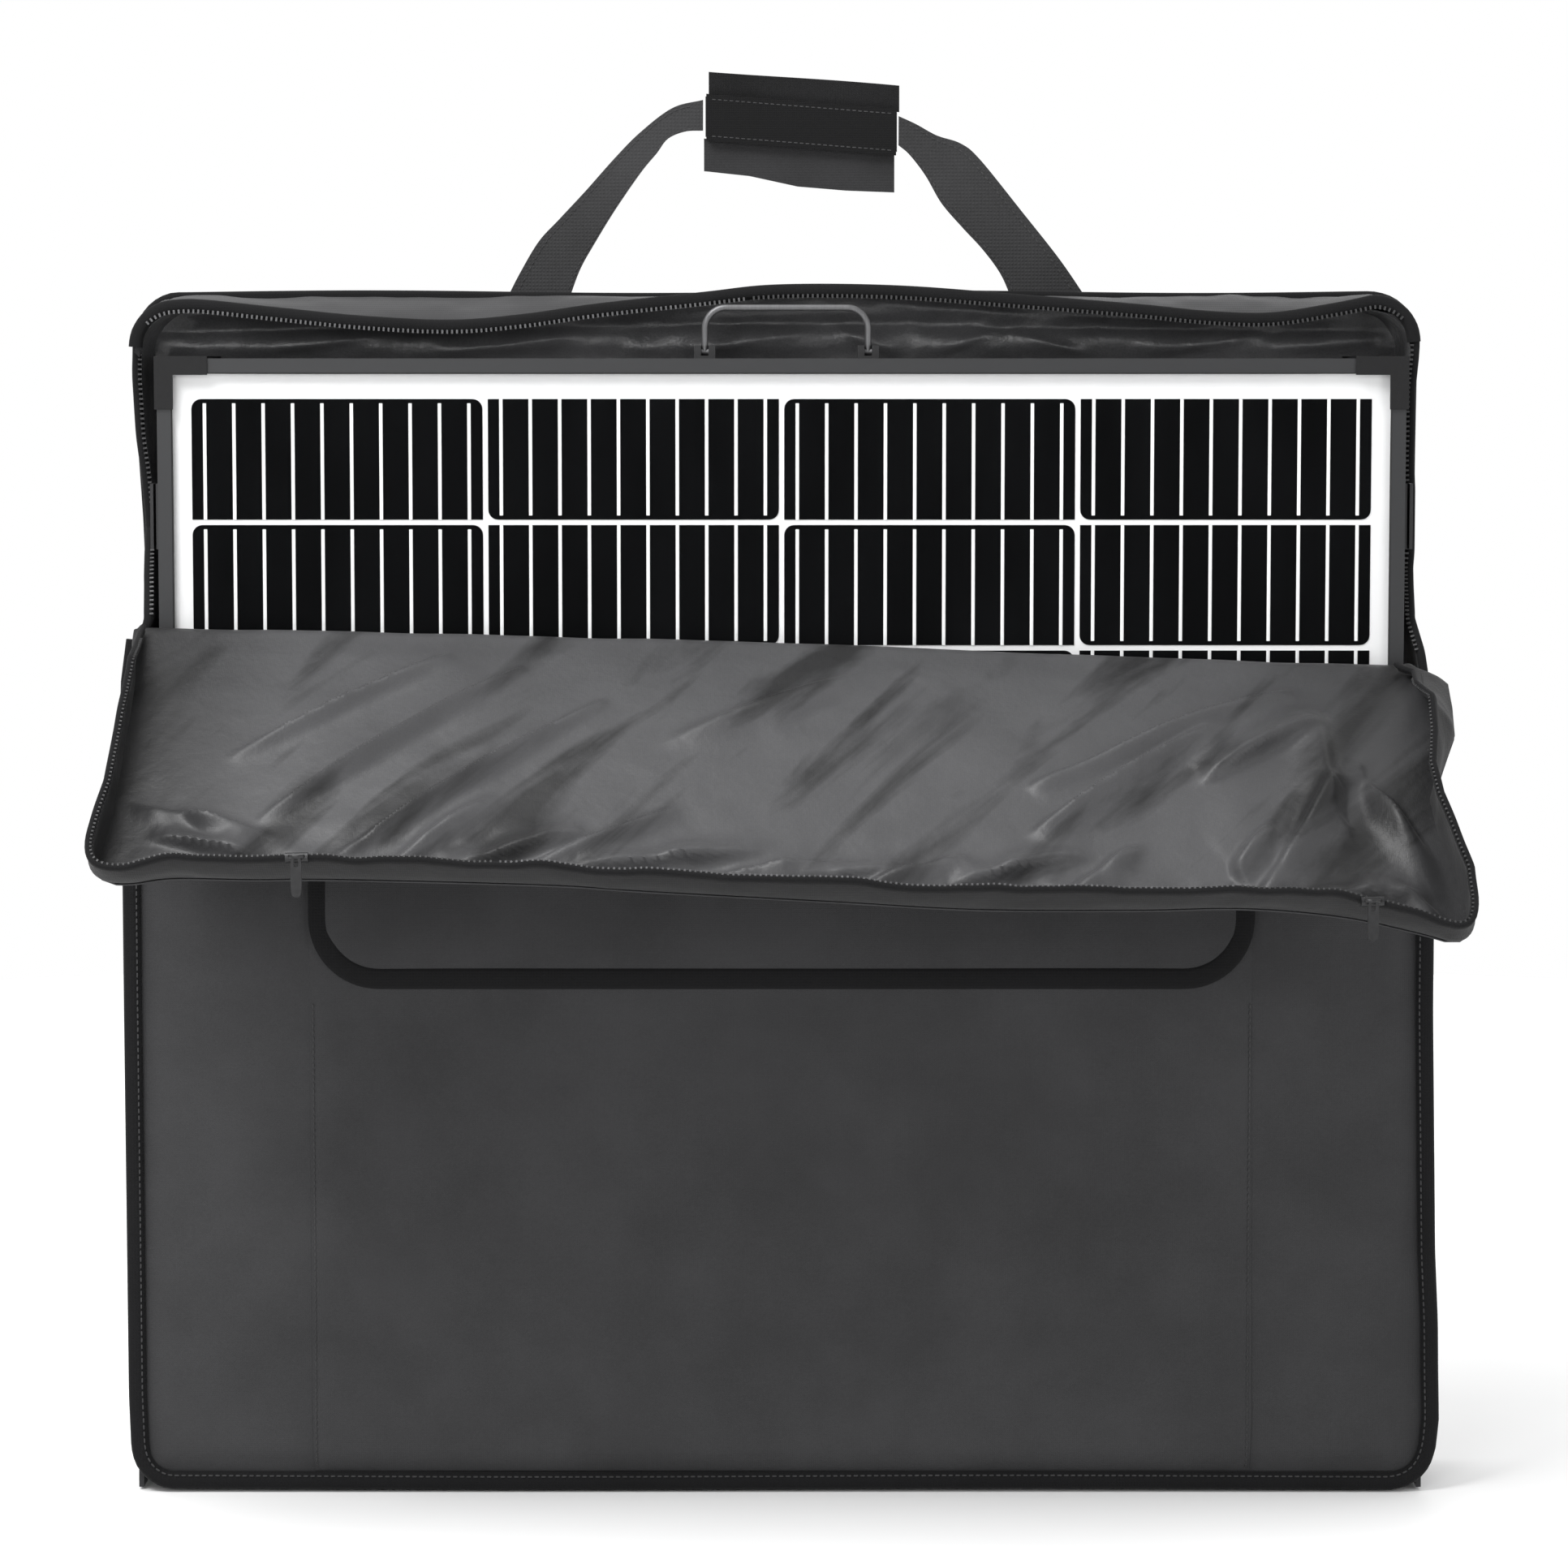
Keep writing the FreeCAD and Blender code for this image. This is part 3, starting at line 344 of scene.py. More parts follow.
def clothLook(name, colour, spread=0.2, thread=0.0012, rough=(0.7, 0.9), sheen=0.2, weave=0.3,
              crumple=0.0, crumpleScale=60, specular=0.3, patches=None):
    # woven cloth: threads both ways in the bump, with slow changes of shade
    look, nodes, links, shader, place = newLook(name)
    slow = noiseNode(nodes, links, place, 14, 4)
    fine = noiseNode(nodes, links, place, 900, 2)
    blend = newNode(nodes, "Math", {1: 0.45}, operation="MULTIPLY_ADD")
    links.new(fine.outputs["Fac"], blend.inputs[0])
    links.new(slow.outputs["Fac"], blend.inputs[2])
    shift = newNode(nodes, "Math", {1: 0.22}, operation="SUBTRACT")
    links.new(blend.outputs[0], shift.inputs[0])
    ramp = rampBetween(nodes, links, shift.outputs[0], *shadesOf(colour, spread))
    shade = ramp.outputs["Color"]
    # patches paint shade into the colour: fold shadows and darker ends
    if patches:
        shade = paintedShadePatches(nodes, links, place, shade, patches)
    links.new(shade, shader.inputs["Base Color"])
    setRoughness(nodes, links, shader, slow.outputs["Fac"], *rough)
    shader.inputs["Sheen Weight"].default_value = sheen
    shader.inputs["Sheen Roughness"].default_value = 0.5
    shader.inputs["Specular IOR Level"].default_value = specular
    both = newNode(nodes, "Math", operation="MULTIPLY")
    for k, direction in enumerate(("X", "Z")):
        wave = newNode(nodes, "TexWave", {"Scale": 0.314 / thread, "Distortion": 0.6},
                       bands_direction=direction)
        links.new(place.outputs["Object"], wave.inputs["Vector"])
        links.new(wave.outputs["Fac"], both.inputs[k])
    bump = newNode(nodes, "Bump", {"Strength": weave, "Distance": 0.0003})
    links.new(both.outputs[0], bump.inputs["Height"])
    if crumple:
        creased = noiseNode(nodes, links, place, crumpleScale, 5, 0.6)
        second = newNode(nodes, "Bump", {"Strength": crumple, "Distance": 0.004})
        links.new(creased.outputs["Fac"], second.inputs["Height"])
        links.new(bump.outputs["Normal"], second.inputs["Normal"])
        bump = second
    links.new(bump.outputs["Normal"], shader.inputs["Normal"])
    return look


def solidLook(name, colour, spread=0.1, metallic=0.0, rough=(0.35, 0.5), grain=(1.0, 1.0, 1.0),
              scale=300, bumpy=0.05, specular=0.5):
    # moulded, painted or metal surfaces: grain stretches the noise along an axis, as brushing does
    look, nodes, links, shader, place = newLook(name)
    stretch = newNode(nodes, "Mapping", {"Scale": grain})
    links.new(place.outputs["Object"], stretch.inputs["Vector"])
    marks = newNode(nodes, "TexNoise", {"Scale": scale, "Detail": 4})
    links.new(stretch.outputs["Vector"], marks.inputs["Vector"])
    ramp = rampBetween(nodes, links, marks.outputs["Fac"], *shadesOf(colour, spread))
    links.new(ramp.outputs["Color"], shader.inputs["Base Color"])
    setRoughness(nodes, links, shader, marks.outputs["Fac"], *rough)
    shader.inputs["Metallic"].default_value = metallic
    shader.inputs["Specular IOR Level"].default_value = specular
    bump = newNode(nodes, "Bump", {"Strength": bumpy, "Distance": 0.0004})
    links.new(marks.outputs["Fac"], bump.inputs["Height"])
    links.new(bump.outputs["Normal"], shader.inputs["Normal"])
    return look


def glassLook():
    # low-iron glass over the cells: almost clear, with a little dust
    look = solidLook("clearGlass", (0.012, 0.013, 0.013), 0.05, rough=(0.03, 0.08), scale=40,
                     bumpy=0.01)
    shader = look.node_tree.nodes["Principled BSDF"]
    shader.inputs["Alpha"].default_value = 0.06
    shader.inputs["IOR"].default_value = 1.5
    look.surface_render_method = "BLENDED"
    return look


looks = {
    "bag_fabric": clothLook("wovenPolyester", (0.035, 0.035, 0.0365), 0.16, 0.0013, (0.8, 0.95), 0.08,
                            0.35, specular=0.2),
    "binding": clothLook("ribbedTape", (0.0055, 0.0055, 0.006), 0.25, 0.0018, (0.7, 0.9), 0.03, 0.5,
                         specular=0.15),
    # flap_cloth: the bag's fabric painted darker, painted shade on the outer face of the tray's wall
    "flap_cloth": clothLook("paintedShadeHemFabric", (0.013, 0.013, 0.0135), 0.3, 0.0013, (0.7, 0.9), 0.05, 0.35,
                            crumple=0.2, crumpleScale=90, specular=0.25),
    "lining": clothLook("shinyNylon", (0.033, 0.033, 0.0345), 0.2, 0.0008, (0.28, 0.42), 0.08, 0.1,
                        crumple=0.16, crumpleScale=60, specular=0.6),
    # tray_lining: the lining with painted shade, dark fold streaks and darker far ends
    "tray_lining": clothLook("paintedShadeNylon", (0.050, 0.050, 0.0522), 0.12, 0.0008, (0.36, 0.5), 0.05,
                             0.1, crumple=0.25, crumpleScale=42, specular=0.32,
                             patches={"turn": -0.62, "long": 0.15, "short": 0.03,
                                      "dark": 0.28, "light": 1.15}),
    # side_lining: the lining painted lighter, painted light on the inner faces of the side, back and
    # top strips
    "side_lining": clothLook("paintedLightNylon", (0.085, 0.085, 0.088), 0.35, 0.0008, (0.3, 0.45), 0.05,
                             0.1, crumple=0.5, crumpleScale=38, specular=0.6),
    "grip_cloth": clothLook("gripCloth", (0.003, 0.003, 0.0033), 0.35, 0.0014, (0.7, 0.9), 0.03, 0.5,
                            specular=0.2),
    "webbing": clothLook("handleWebbing", (0.021, 0.021, 0.022), 0.3, 0.0022, (0.7, 0.9), 0.2, 0.8),
    "hook_loop": clothLook("hookAndLoop", (0.006, 0.006, 0.0065), 0.5, 0.001, (0.9, 1.0), 0.05, 1.0),
    "wing_cloth": clothLook("wingCloth", (0.017, 0.017, 0.018), 0.3, 0.0016, (0.75, 0.95), 0.15, 0.6),
    "zip_tape": clothLook("zipTape", (0.0065, 0.0065, 0.007), 0.25, 0.0010, (0.75, 0.9), 0.03, 0.4,
                          specular=0.15),
    "thread": clothLook("sewingThread", (0.03, 0.03, 0.031), 0.3, 0.0006, (0.5, 0.7), 0.1, 0.4),
    # zip_teeth and dark_teeth are lit and shaded copies of the same teeth: painted light and painted
    # shade
    "zip_teeth": solidLook("teethPaintedLight", (0.075, 0.075, 0.078), 0.4, 0.1, (0.3, 0.45), scale=300,
                           bumpy=0.1),
    "dark_teeth": solidLook("teethPaintedShade", (0.03, 0.03, 0.031), 0.3, 0.1, (0.4, 0.55), scale=300,
                            bumpy=0.1),
    "zip_metal": solidLook("blackZipMetal", (0.02, 0.02, 0.021), 0.2, 0.4, (0.3, 0.42), scale=400,
                           bumpy=0.1),
    "frame_alloy": solidLook("darkAnodised", (0.018, 0.0185, 0.020), 0.07, 0.1, (0.42, 0.55),
                             (3.0, 3.0, 60.0), 30, 0.05),
    "cover_glass": glassLook(),
    "silicon": solidLook("blackCells", (0.0022, 0.0023, 0.0026), 0.4, 0.0, (0.5, 0.65), (1, 1, 0.4),
                         26, 0.02, 0.01),
    "busbar": solidLook("tinnedRibbon", (0.86, 0.87, 0.87), 0.03, 0.1, (0.35, 0.45), scale=500,
                        bumpy=0.03),
    "white_sheet": solidLook("whiteBacksheet", (0.95, 0.955, 0.96), 0.01, 0.0, (0.5, 0.6), scale=60,
                             bumpy=0.01),
    "guard_plastic": solidLook("mouldedGuard", (0.007, 0.007, 0.0075), 0.2, 0.0, (0.5, 0.65),
                               scale=700, bumpy=0.25, specular=0.25),
    "steel": solidLook("satinSteel", (0.13, 0.13, 0.134), 0.12, 0.7, (0.35, 0.5), (40, 2, 2), 40, 0.05),
    "dark_steel": solidLook("blackenedSteel", (0.022, 0.022, 0.023), 0.15, 0.5, (0.35, 0.5),
                            (40, 2, 2), 40, 0.05),
    "case_plastic": solidLook("controllerCase", (0.03, 0.03, 0.033), 0.15, 0.0, (0.4, 0.6), scale=800,
                              bumpy=0.25),
    "display_window": solidLook("displayWindow", (0.12, 0.15, 0.13), 0.1, 0.0, (0.08, 0.15), scale=60,
                                bumpy=0.01),
    "key_rubber": solidLook("keyRubber", (0.08, 0.08, 0.085), 0.1, 0.0, (0.6, 0.75), scale=600,
                            bumpy=0.15),
    "terminal_plastic": solidLook("terminalBlock", (0.03, 0.11, 0.05), 0.1, 0.0, (0.35, 0.5),
                                  scale=500, bumpy=0.1),
    "lead_jacket": solidLook("leadJacket", (0.014, 0.014, 0.014), 0.15, 0.0, (0.4, 0.55), scale=600,
                             bumpy=0.1),
    "gasket": solidLook("blackGasket", (0.006, 0.006, 0.006), 0.2, 0.0, (0.5, 0.6), scale=600,
                        bumpy=0.1),
}
for part in frame["record"]["subparts"]:
    solid = frame["nodes"][part["node"]]
    if not solid.material_slots:
        solid.data.materials.append(None)
    solid.material_slots[0].link = "OBJECT"
    solid.material_slots[0].material = looks[part["material_slot"]]
for node in ("bail_brackets", "latch_bases", "latch_loops", "latch_catches", "left_latch_lever",
             "right_latch_lever"):
    frame["nodes"][node].material_slots[0].material = looks["dark_steel"]
print("finishes made")

# lines that several pieces of the bag follow, in mm
bagHalf = 401  # half the bag's width over its bindings
foldAt = ([-401, -300, -150, 0, 150, 300, 401], [534, 532.5, 529, 525, 519, 513, 510.5])
rimAt = ([-400, -381, -359, -309, -258, -203, -158, -112, -47,
          -2, 69, 145, 220, 261, 301, 341, 372, 400],
         [728, 731, 732.5, 727.5, 722.5, 720, 723.5, 730, 737,
          741.5, 741, 735.5, 729.5, 725.5, 724.5, 730.5, 736, 733])


def foldZ(x):
    return np.interp(x, *foldAt) + 0.0 * np.asarray(x)


rimSmooth = curveThrough(np.stack(rimAt, axis=1), 160)


def rimZ(x):
    return np.interp(x, rimSmooth[:, 0], rimSmooth[:, 1])


def sideDraw(z, side):
    # how far the bag's side stands from its mean place, outward
    if side < 0:
        return np.interp(z, [0, 60, 300, 500, 540, 600, 650, 700, 741],
                         [-4.5, -2.5, -2.3, -2.5, -8, -6, -3, -2, -3])
    return np.interp(z, [0, 45, 76, 106, 150, 300, 500, 540, 650, 700, 741],
                     [-4, 0.5, -0.3, -0.8, -3, -6, -6.5, -10, -9.5, -9, -9])


def frontEdgeY(z, side):
    # the front edge of a side strip: at the front below the fold, then sloping back to the zip
    lift = float(foldZ(side * bagHalf)) - 520
    # above the fold the edge stands back, so the closing flap and the latch levers clear it
    return np.interp(np.asarray(z) - lift, [0, 516, 530, 552, 580, 690, 715, 760],
                     [-38, -38, -34, -22, 1.5, 1.5, -7, -7])


# walls of the bag
wall = {"half": 395.5, "low": 12, "backTop": 736, "edge": 16, "crown": 1.2, "seam": 2.2}


def edgeRise(x, z, low, high, half, width):
    # 0 at the edges of a panel and 1 a little way in
    away = np.minimum(np.minimum(half - np.abs(x), z - low), high - z)
    return smoothStep(away, 0, width)


def wallGrid(half, low, top, depth, across, up):
    xs = np.linspace(-half, half, across)
    share = np.linspace(0, 1, up)
    x = np.broadcast_to(xs, (up, across))
    z = low + share[:, None] * (top(x) - low)
    return np.stack([x, depth(x, z), z], axis=2)


def drawIn(grid):
    # move the sides of a panel in or out with the bag's side lines
    x, z = grid[..., 0], grid[..., 2]
    left, right = sideDraw(z, -1), sideDraw(z, 1)
    near = (np.abs(x) / wall["half"]) ** 4
    grid[..., 0] = np.where(x < 0, x - left * near, x + right * near)
    return grid


def frontTop(x):
    return foldZ(x) - 4


def frontOuter(x, z):
    rise = edgeRise(x, z, wall["low"], frontTop(x), wall["half"], wall["edge"])
    sag = 2.0 * np.exp(-((x + 30) / 300) ** 2) * np.exp(-((z - 30) / 40) ** 2)
    slack = 0.5 * softNoise(x, z, 120, 3) + 0.25 * softNoise(x, z, 45, 4)
    crease = foldRelief(x, z, [(210, 60, 330, 120, 10, 0.7, 0.4), (250, 40, 360, 80, 8, 0.6, -0.3),
                               (-330, 60, -240, 40, 10, 0.5, 0.3)])
    fromSeam = np.abs(x - 0.5) - 290.5 - (440 - z) * 0.011
    seam = wall["seam"] * np.exp(-(fromSeam / 1.6) ** 2) * (z < 445)
    return -44 + wall["seam"] * (1 - rise) - (wall["crown"] + sag + slack) * rise - crease + 0.4 * seam


def frontInner(x, z):
    return -38.3 - 0.3 * softNoise(x, z, 60, 5) ** 2


outer, inner = (drawIn(wallGrid(wall["half"], wall["low"], frontTop, depth, 150, 110))
                for depth in (frontOuter, frontInner))
piece = padMesh("frontWallPad", outer, inner, [looks["bag_fabric"], looks["lining"]],
                slot="bag_fabric", instead=("front_wall",))


def backTop(x):
    r = 11
    corner = np.clip(np.abs(x) - (wall["half"] - r), 0, r)
    return wall["backTop"] - (r - np.sqrt(np.maximum(0, r**2 - corner**2)))


def backOuter(x, z):
    rise = edgeRise(x, z, 0, wall["backTop"], wall["half"], wall["edge"])
    slack = 0.6 * softNoise(x, z, 130, 8) + 0.25 * softNoise(x, z, 50, 9)
    return 44 - 2 * (1 - rise) + rise * (1.2 + slack)


liningFolds = [
    (-390, 716, -120, 719, 5, -4.5, 0.2), (-130, 720, 120, 722, 5, -4.5, -0.2),
    (90, 719, 390, 716, 5, -4.5, 0.2), (-330, 702, -250, 714, 7, 4, 0.5),
    (-210, 702, -130, 713, 6, 3.5, -0.4), (-60, 703, 10, 715, 8, 4, 0.5),
    (40, 716, 70, 702, 6, 3.5, 0.4), (95, 702, 130, 715, 6, 4.5, 0.5),
    (150, 714, 190, 702, 5, 4, -0.5), (230, 702, 300, 714, 7, 4, 0.5),
    (310, 704, 380, 712, 6, 3, 0.3), (-380, 728, -260, 722, 4, 3, 0.4),
    (-100, 727, -40, 733, 4, 3, 0.4), (60, 734, 150, 727, 4, 3, -0.4),
    (180, 726, 260, 722, 4, 3, 0.4),
]


def backInner(x, z):
    free = smoothStep(z, 697, 708)
    folds = foldRelief(x, z, liningFolds)
    folds = folds + 1.6 * softNoise(x * 0.6, z * 1.6, 26, 12) + softNoise(x, z, 11, 13)
    return 37.6 - free * (3 + np.clip(folds, -4, 7)) - (1 - free) * 0.4 * softNoise(x, z, 40, 14) ** 2


zRows = np.concatenate([np.linspace(0, 0.93, 60), np.linspace(0.94, 1, 34)])


def backGrid(depth):
    xs = np.linspace(-wall["half"], wall["half"], 240)
    x = np.broadcast_to(xs, (len(zRows), len(xs)))
    z = zRows[:, None] * backTop(x)
    return drawIn(np.stack([x, depth(x, z), z], axis=2))


piece = padMesh("backWallPad", backGrid(backOuter), backGrid(backInner),
                [looks["bag_fabric"], looks["side_lining"]], slot="bag_fabric", instead=("back_wall",))

xs, ys = np.linspace(-384, 384, 80), np.linspace(-38, 38, 14)
gx, gy = np.meshgrid(xs, ys)
top = np.stack([gx, gy, 11.6 - 0.8 * (np.abs(gx) / 396) ** 6 + 0.0 * gy], axis=2)
under = np.stack([gx, gy, 6.0 - 6.0 * edgeRise(gx, gy, -38, 38, 384, 16)], axis=2)
piece = padMesh("floorPad", under, top, [looks["bag_fabric"], looks["lining"]],
                slot="bag_fabric", instead=("bag_floor",))
print("walls made")

# side strips, top strip and the zip round the opening
gusset = {"thick": 3.0, "up": 150, "deep": 26, "bendFrom": 703, "bend": 26}


def sideX(z, side):
    # the outer face of a side strip, which draws in where the front is open
    if side < 0:
        return -np.interp(z, [0, 480, 520, 540, 560, 580, 600, 650, 690, 741],
                          [399, 399, 394, 388, 389, 390.5, 391.2, 395, 397, 395])
    return np.interp(z, [0, 480, 520, 540, 560, 580, 620, 640, 660, 680, 700, 741],
                     [397, 397, 392, 387, 388, 389.5, 389.5, 388, 387.5, 387.5, 388.5, 389])


def gussetGrid(side, shift):
    zs = np.concatenate([np.linspace(1, 500, 60), np.linspace(505, 729, gusset["up"] - 60)])
    z = np.broadcast_to(zs[:, None], (len(zs), gusset["deep"]))
    share = np.linspace(0, 1, gusset["deep"])
    y = frontEdgeY(z, side) * (1 - share) + 38 * share
    bulge = 1.6 * np.sin(math.pi * share) * smoothStep(z, 20, 120)
    waves = 1.1 * softNoise(y * 1.4, z, 46, 20 + side) + 0.5 * softNoise(y, z, 17, 24 + side)
    waves = waves * smoothStep(z, 10, 60)
    r, bendFrom = gusset["bend"], gusset["bendFrom"]
    bend = np.where(z > bendFrom, r - np.sqrt(np.maximum(0, r**2 - (z - bendFrom) ** 2)), 0)
    flare = (1.5 - 5.0 * share) * smoothStep(z, 620, 660)
    x = sideX(z, side) + side * (flare + bulge + waves * (0.4 if shift else 1.0) - shift - bend)
    if shift:
        crumple = foldRelief(y, z, [(-5, 560, 10, 700, 5, 1.2, 0.3), (20, 540, 26, 690, 4, 1.0, -0.3)])
        x = x - side * np.clip(crumple, 0, 1.5)
    return np.stack([x, y, z], axis=2)


for side, word in ((-1, "left"), (1, "right")):
    piece = padMesh(word + "SideStrip", gussetGrid(side, 0), gussetGrid(side, gusset["thick"]),
                    [looks["bag_fabric"], looks["side_lining"]], slot="bag_fabric",
                    instead=(word + "_gusset",))


def topGrid(shift):
    left = np.array(quarterTurn(-372, -gusset["bend"], gusset["bend"], 180, 8, clockwise=True))
    xs = np.concatenate([left[:, 0], np.linspace(-366, 357, 150), -left[::-1, 0] - 8.5])
    drop = np.concatenate([left[:, 1], np.zeros(150), left[::-1, 1]])
    share = np.linspace(0, 1, 22)
    x = np.broadcast_to(xs, (22, len(xs))).copy()
    s = np.broadcast_to(share[:, None], x.shape)
    front = rimZ(x)
    z = front * (1 - s) + 738 * s
    waves = softNoise(x, s * 45, 40, 31) + 0.6 * softNoise(x, s * 45, 14, 32)
    z = z + 1.6 * np.sin(math.pi * s) + waves
    z = z + drop - shift
    y = -7 + 45 * s
    x = x + np.where(x < 0, shift, -shift) * (np.abs(x) > 380)
    return np.stack([x, y, z], axis=2)


topStrip = padMesh("topStrip", topGrid(0), topGrid(3.0), [looks["bag_fabric"], looks["side_lining"]],
                   slot="bag_fabric", instead=("top_gusset",))


def sideRim(side, offset):
    foot = float(foldZ(side * bagHalf)) - 4
    zs = np.concatenate([np.linspace(foot, 600, 26), np.linspace(606, 712, 18)])
    line = [[float(sideX(z, side)) + side * (1.5 * float(smoothStep(z, 620, 660)) - offset),
             float(frontEdgeY(z, side)), z] for z in zs]
    return np.array(line)


def topRim(offset):
    r = gusset["bend"] - offset
    left = quarterTurn(-372, rimZ(-372) - gusset["bend"], r, 180, 9, clockwise=True)
    right = quarterTurn(363.5, rimZ(366) - gusset["bend"], r, 90, 9, clockwise=True)
    xs = np.linspace(-366, 358, 130)
    rows = left + [(x, float(rimZ(x)) - offset) for x in xs] + right
    return np.array([[x, -8.5, z] for x, z in rows])


rim = {"tape": (8.5, 7.0), "sideTape": (5.5, 6.0), "teeth": (1.5, 2.4, 1.5), "pitch": 3.0}
edge = evenPoints(topRim(1.0), 260)
topEdge = sweepMesh("topRimRoll", edge, toFront, roundSection(*rim["tape"], 2.4),
                    [looks["zip_tape"]], slot="zip_tape", instead=("top_rim_zip",))
inset = edge + np.array([0, -3.6, 0])
inset[:, 2] -= 3.4
# teeth left of x = -20 take the lighter copy, painted light; the rest the darker copy, painted shade
bright = int(np.argmax(inset[:, 0] > -20))
topTeeth = beads("topRimTeethLeft", inset[6:bright], toFront, rim["teeth"], rim["pitch"],
                 looks["zip_teeth"], slot="zip_tape")
moreTeeth = beads("topRimTeethRight", inset[bright:-6], toFront, rim["teeth"], rim["pitch"],
                  looks["dark_teeth"], slot="zip_tape")
for side, word in ((-1, "left"), (1, "right")):
    line = evenPoints(sideRim(side, 0.5), 120)
    sweepMesh(word + "RimRoll", line, toFront, roundSection(*rim["sideTape"], 2.4),
              [looks["zip_tape"]], slot="zip_tape", instead=("side_rim_zips",))
    # the side teeth take the darker copy of the teeth, painted shade
    teethLine = line + np.array([-side * 2.4, -2.8, 0])
    beads(word + "RimTeeth", teethLine[8:], toFront, rim["teeth"], rim["pitch"], looks["dark_teeth"],
          slot="zip_tape")
for limp in (topStrip, topEdge, topTeeth, moreTeeth):
    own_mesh(limp)
print("rim made")

# bindings round the front and back walls
binding = {"front": (11, 9), "back": (10.5, 9), "foot": (10, 9), "corner": 22, "backCorner": 24,
           "seam": 3.4}


def bindingX(z, side, inset):
    return side * (bagHalf + float(sideDraw(z, side)) - inset)


def bindingSide(side, start, end, count, inset):
    return [(bindingX(z, side, inset), z) for z in np.linspace(start, end, count)]


def bindingLine(y, topLeft, topRight, inset=0.0):
    # down the left edge, along the foot and up the right edge
    r, low = binding["corner"] - inset, 6.6 + inset
    start, end = bindingX(r, -1, inset) + r, bindingX(r, 1, inset) - r
    points = bindingSide(-1, topLeft, low + r, 60, inset)
    points += quarterTurn(start, low + r, r, 180, 10)[1:-1]
    points += [(x, low + 0.5 * math.sin(x / 90)) for x in np.linspace(start, end, 120)]
    points += quarterTurn(end, low + r, r, 270, 10)[1:-1]
    points += bindingSide(1, low + r, topRight, 60, inset)
    return np.array([[x, y, z] for x, z in points])


frontLine = evenPoints(bindingLine(-43, float(foldZ(-bagHalf)) - 6, float(foldZ(bagHalf)) - 6), 420)
sweepMesh("frontBindingTape", frontLine, toFront, roundSection(*binding["front"], 3),
          [looks["binding"]], slot="binding", instead=("front_binding",))
frontSeam = bindingLine(-47.4, float(foldZ(-bagHalf)) - 8, float(foldZ(bagHalf)) - 8, binding["seam"])
stitches("frontBindingStitches", evenPoints(frontSeam, 420), toFront, "binding", slot="binding")


def backLine(y, inset=0.0):
    # up the left edge, over the top and down the right edge
    r, high = binding["backCorner"] - inset, 735.8 - inset
    start, end = (bindingX(700, side, inset) - side * r for side in (-1, 1))
    points = bindingSide(-1, 3, high - r, 90, inset)
    points += quarterTurn(bindingX(high - r, -1, inset) + r, high - r, r, 180, 10, clockwise=True)[1:-1]
    points += [(x, high + 0.8 * math.sin(x / 55)) for x in np.linspace(start, end, 120)]
    points += quarterTurn(bindingX(high - r, 1, inset) - r, high - r, r, 90, 10, clockwise=True)[1:-1]
    points += bindingSide(1, high - r, 3, 90, inset)
    return np.array([[x, y, z] for x, z in points])


rearLine = evenPoints(backLine(43), 520)
sweepMesh("backBindingTape", rearLine, toBack, roundSection(*binding["back"], 3), [looks["binding"]],
          slot="binding", instead=("back_binding",))
stitches("backBindingStitches", evenPoints(backLine(47.4, binding["seam"]), 520), toBack, "binding",
         slot="binding")
rearFoot = np.array([[x, 43, 6.2 + 0.4 * math.sin(x / 70)] for x in np.linspace(-397, 394, 120)])
sweepMesh("backFootTape", rearFoot, toBack, roundSection(*binding["foot"], 3), [looks["binding"]],
          slot="binding")
print("bindings made")

# document pocket and its cover
pocket = {"half": 290.5, "low": 12, "top": 440}


def pocketDepth(x, z):
    rise = edgeRise(x, z, pocket["low"], pocket["top"], 291, 9)
    sag = 2.4 * np.exp(-((x + 30) / 240) ** 2) * np.exp(-((z - 34) / 34) ** 2)
    return frontOuter(x, z) - 0.4 - 1.9 * rise - 0.5 * sag - 0.25 * softNoise(x, z, 70, 41) * rise


def pocketGrid(depth):
    top = lambda x: pocket["top"] + 0 * x
    return drawIn(wallGrid(pocket["half"], pocket["low"] + 0.5, top, depth, 120, 80))


pocketBack = pocketGrid(lambda x, z: frontOuter(x, z) + 0.6)
piece = padMesh("documentPocket", pocketGrid(pocketDepth), pocketBack, [looks["bag_fabric"]],
                slot="bag_fabric", instead=("front_pocket",))
for side, word in ((-1, "left"), (1, "right")):
    line = np.array([[side * 287.8, float(pocketDepth(side * 287.0, z)) - 0.1, z]
                     for z in np.linspace(14, 305, 90)])
    stitches(word + "PocketStitches", line, toFront, "pocket", slot="bag_fabric")

cover = {"half": 290, "low": 314, "top": 470, "corner": 43, "band": 13}


def coverOutline(inset, count=260):
    r = cover["corner"] - inset
    half, low = cover["half"] - inset, cover["low"] + inset
    left = [(-half, z) for z in np.linspace(cover["top"], low + r, 40)]
    lowerLeft = quarterTurn(-half + r, low + r, r, 180, 14)[1:-1]
    across = [(x, low) for x in np.linspace(-half + r, half - r, 80)]
    lowerRight = quarterTurn(half - r, low + r, r, 270, 14)[1:-1]
    right = [(half, z) for z in np.linspace(low + r, cover["top"], 40)]
    return evenPoints(np.array(left + lowerLeft + across + lowerRight + right), count)


def coverSheet(depth):
    # rows run from the outline in towards a middle line at the top edge
    ring = coverOutline(3)
    rows = []
    for share in (0, 0.02, 0.05, 0.1, 0.2, 0.35, 0.55, 0.75, 0.92, 1.0):
        inner = np.stack([ring[:, 0] * 0.9, np.full(len(ring), cover["top"])], axis=1)
        flat = ring * (1 - share) + inner * share
        rows.append(np.stack([flat[:, 0], depth(flat[:, 0], flat[:, 1], share), flat[:, 1]], axis=1))
    return np.array(rows)


def coverFace(x, z, share):
    puff = smoothStep(share, 0, 0.1)
    return -48.6 - 1.1 * puff - 0.5 * softNoise(x, z, 90, 51) * puff + 0 * x


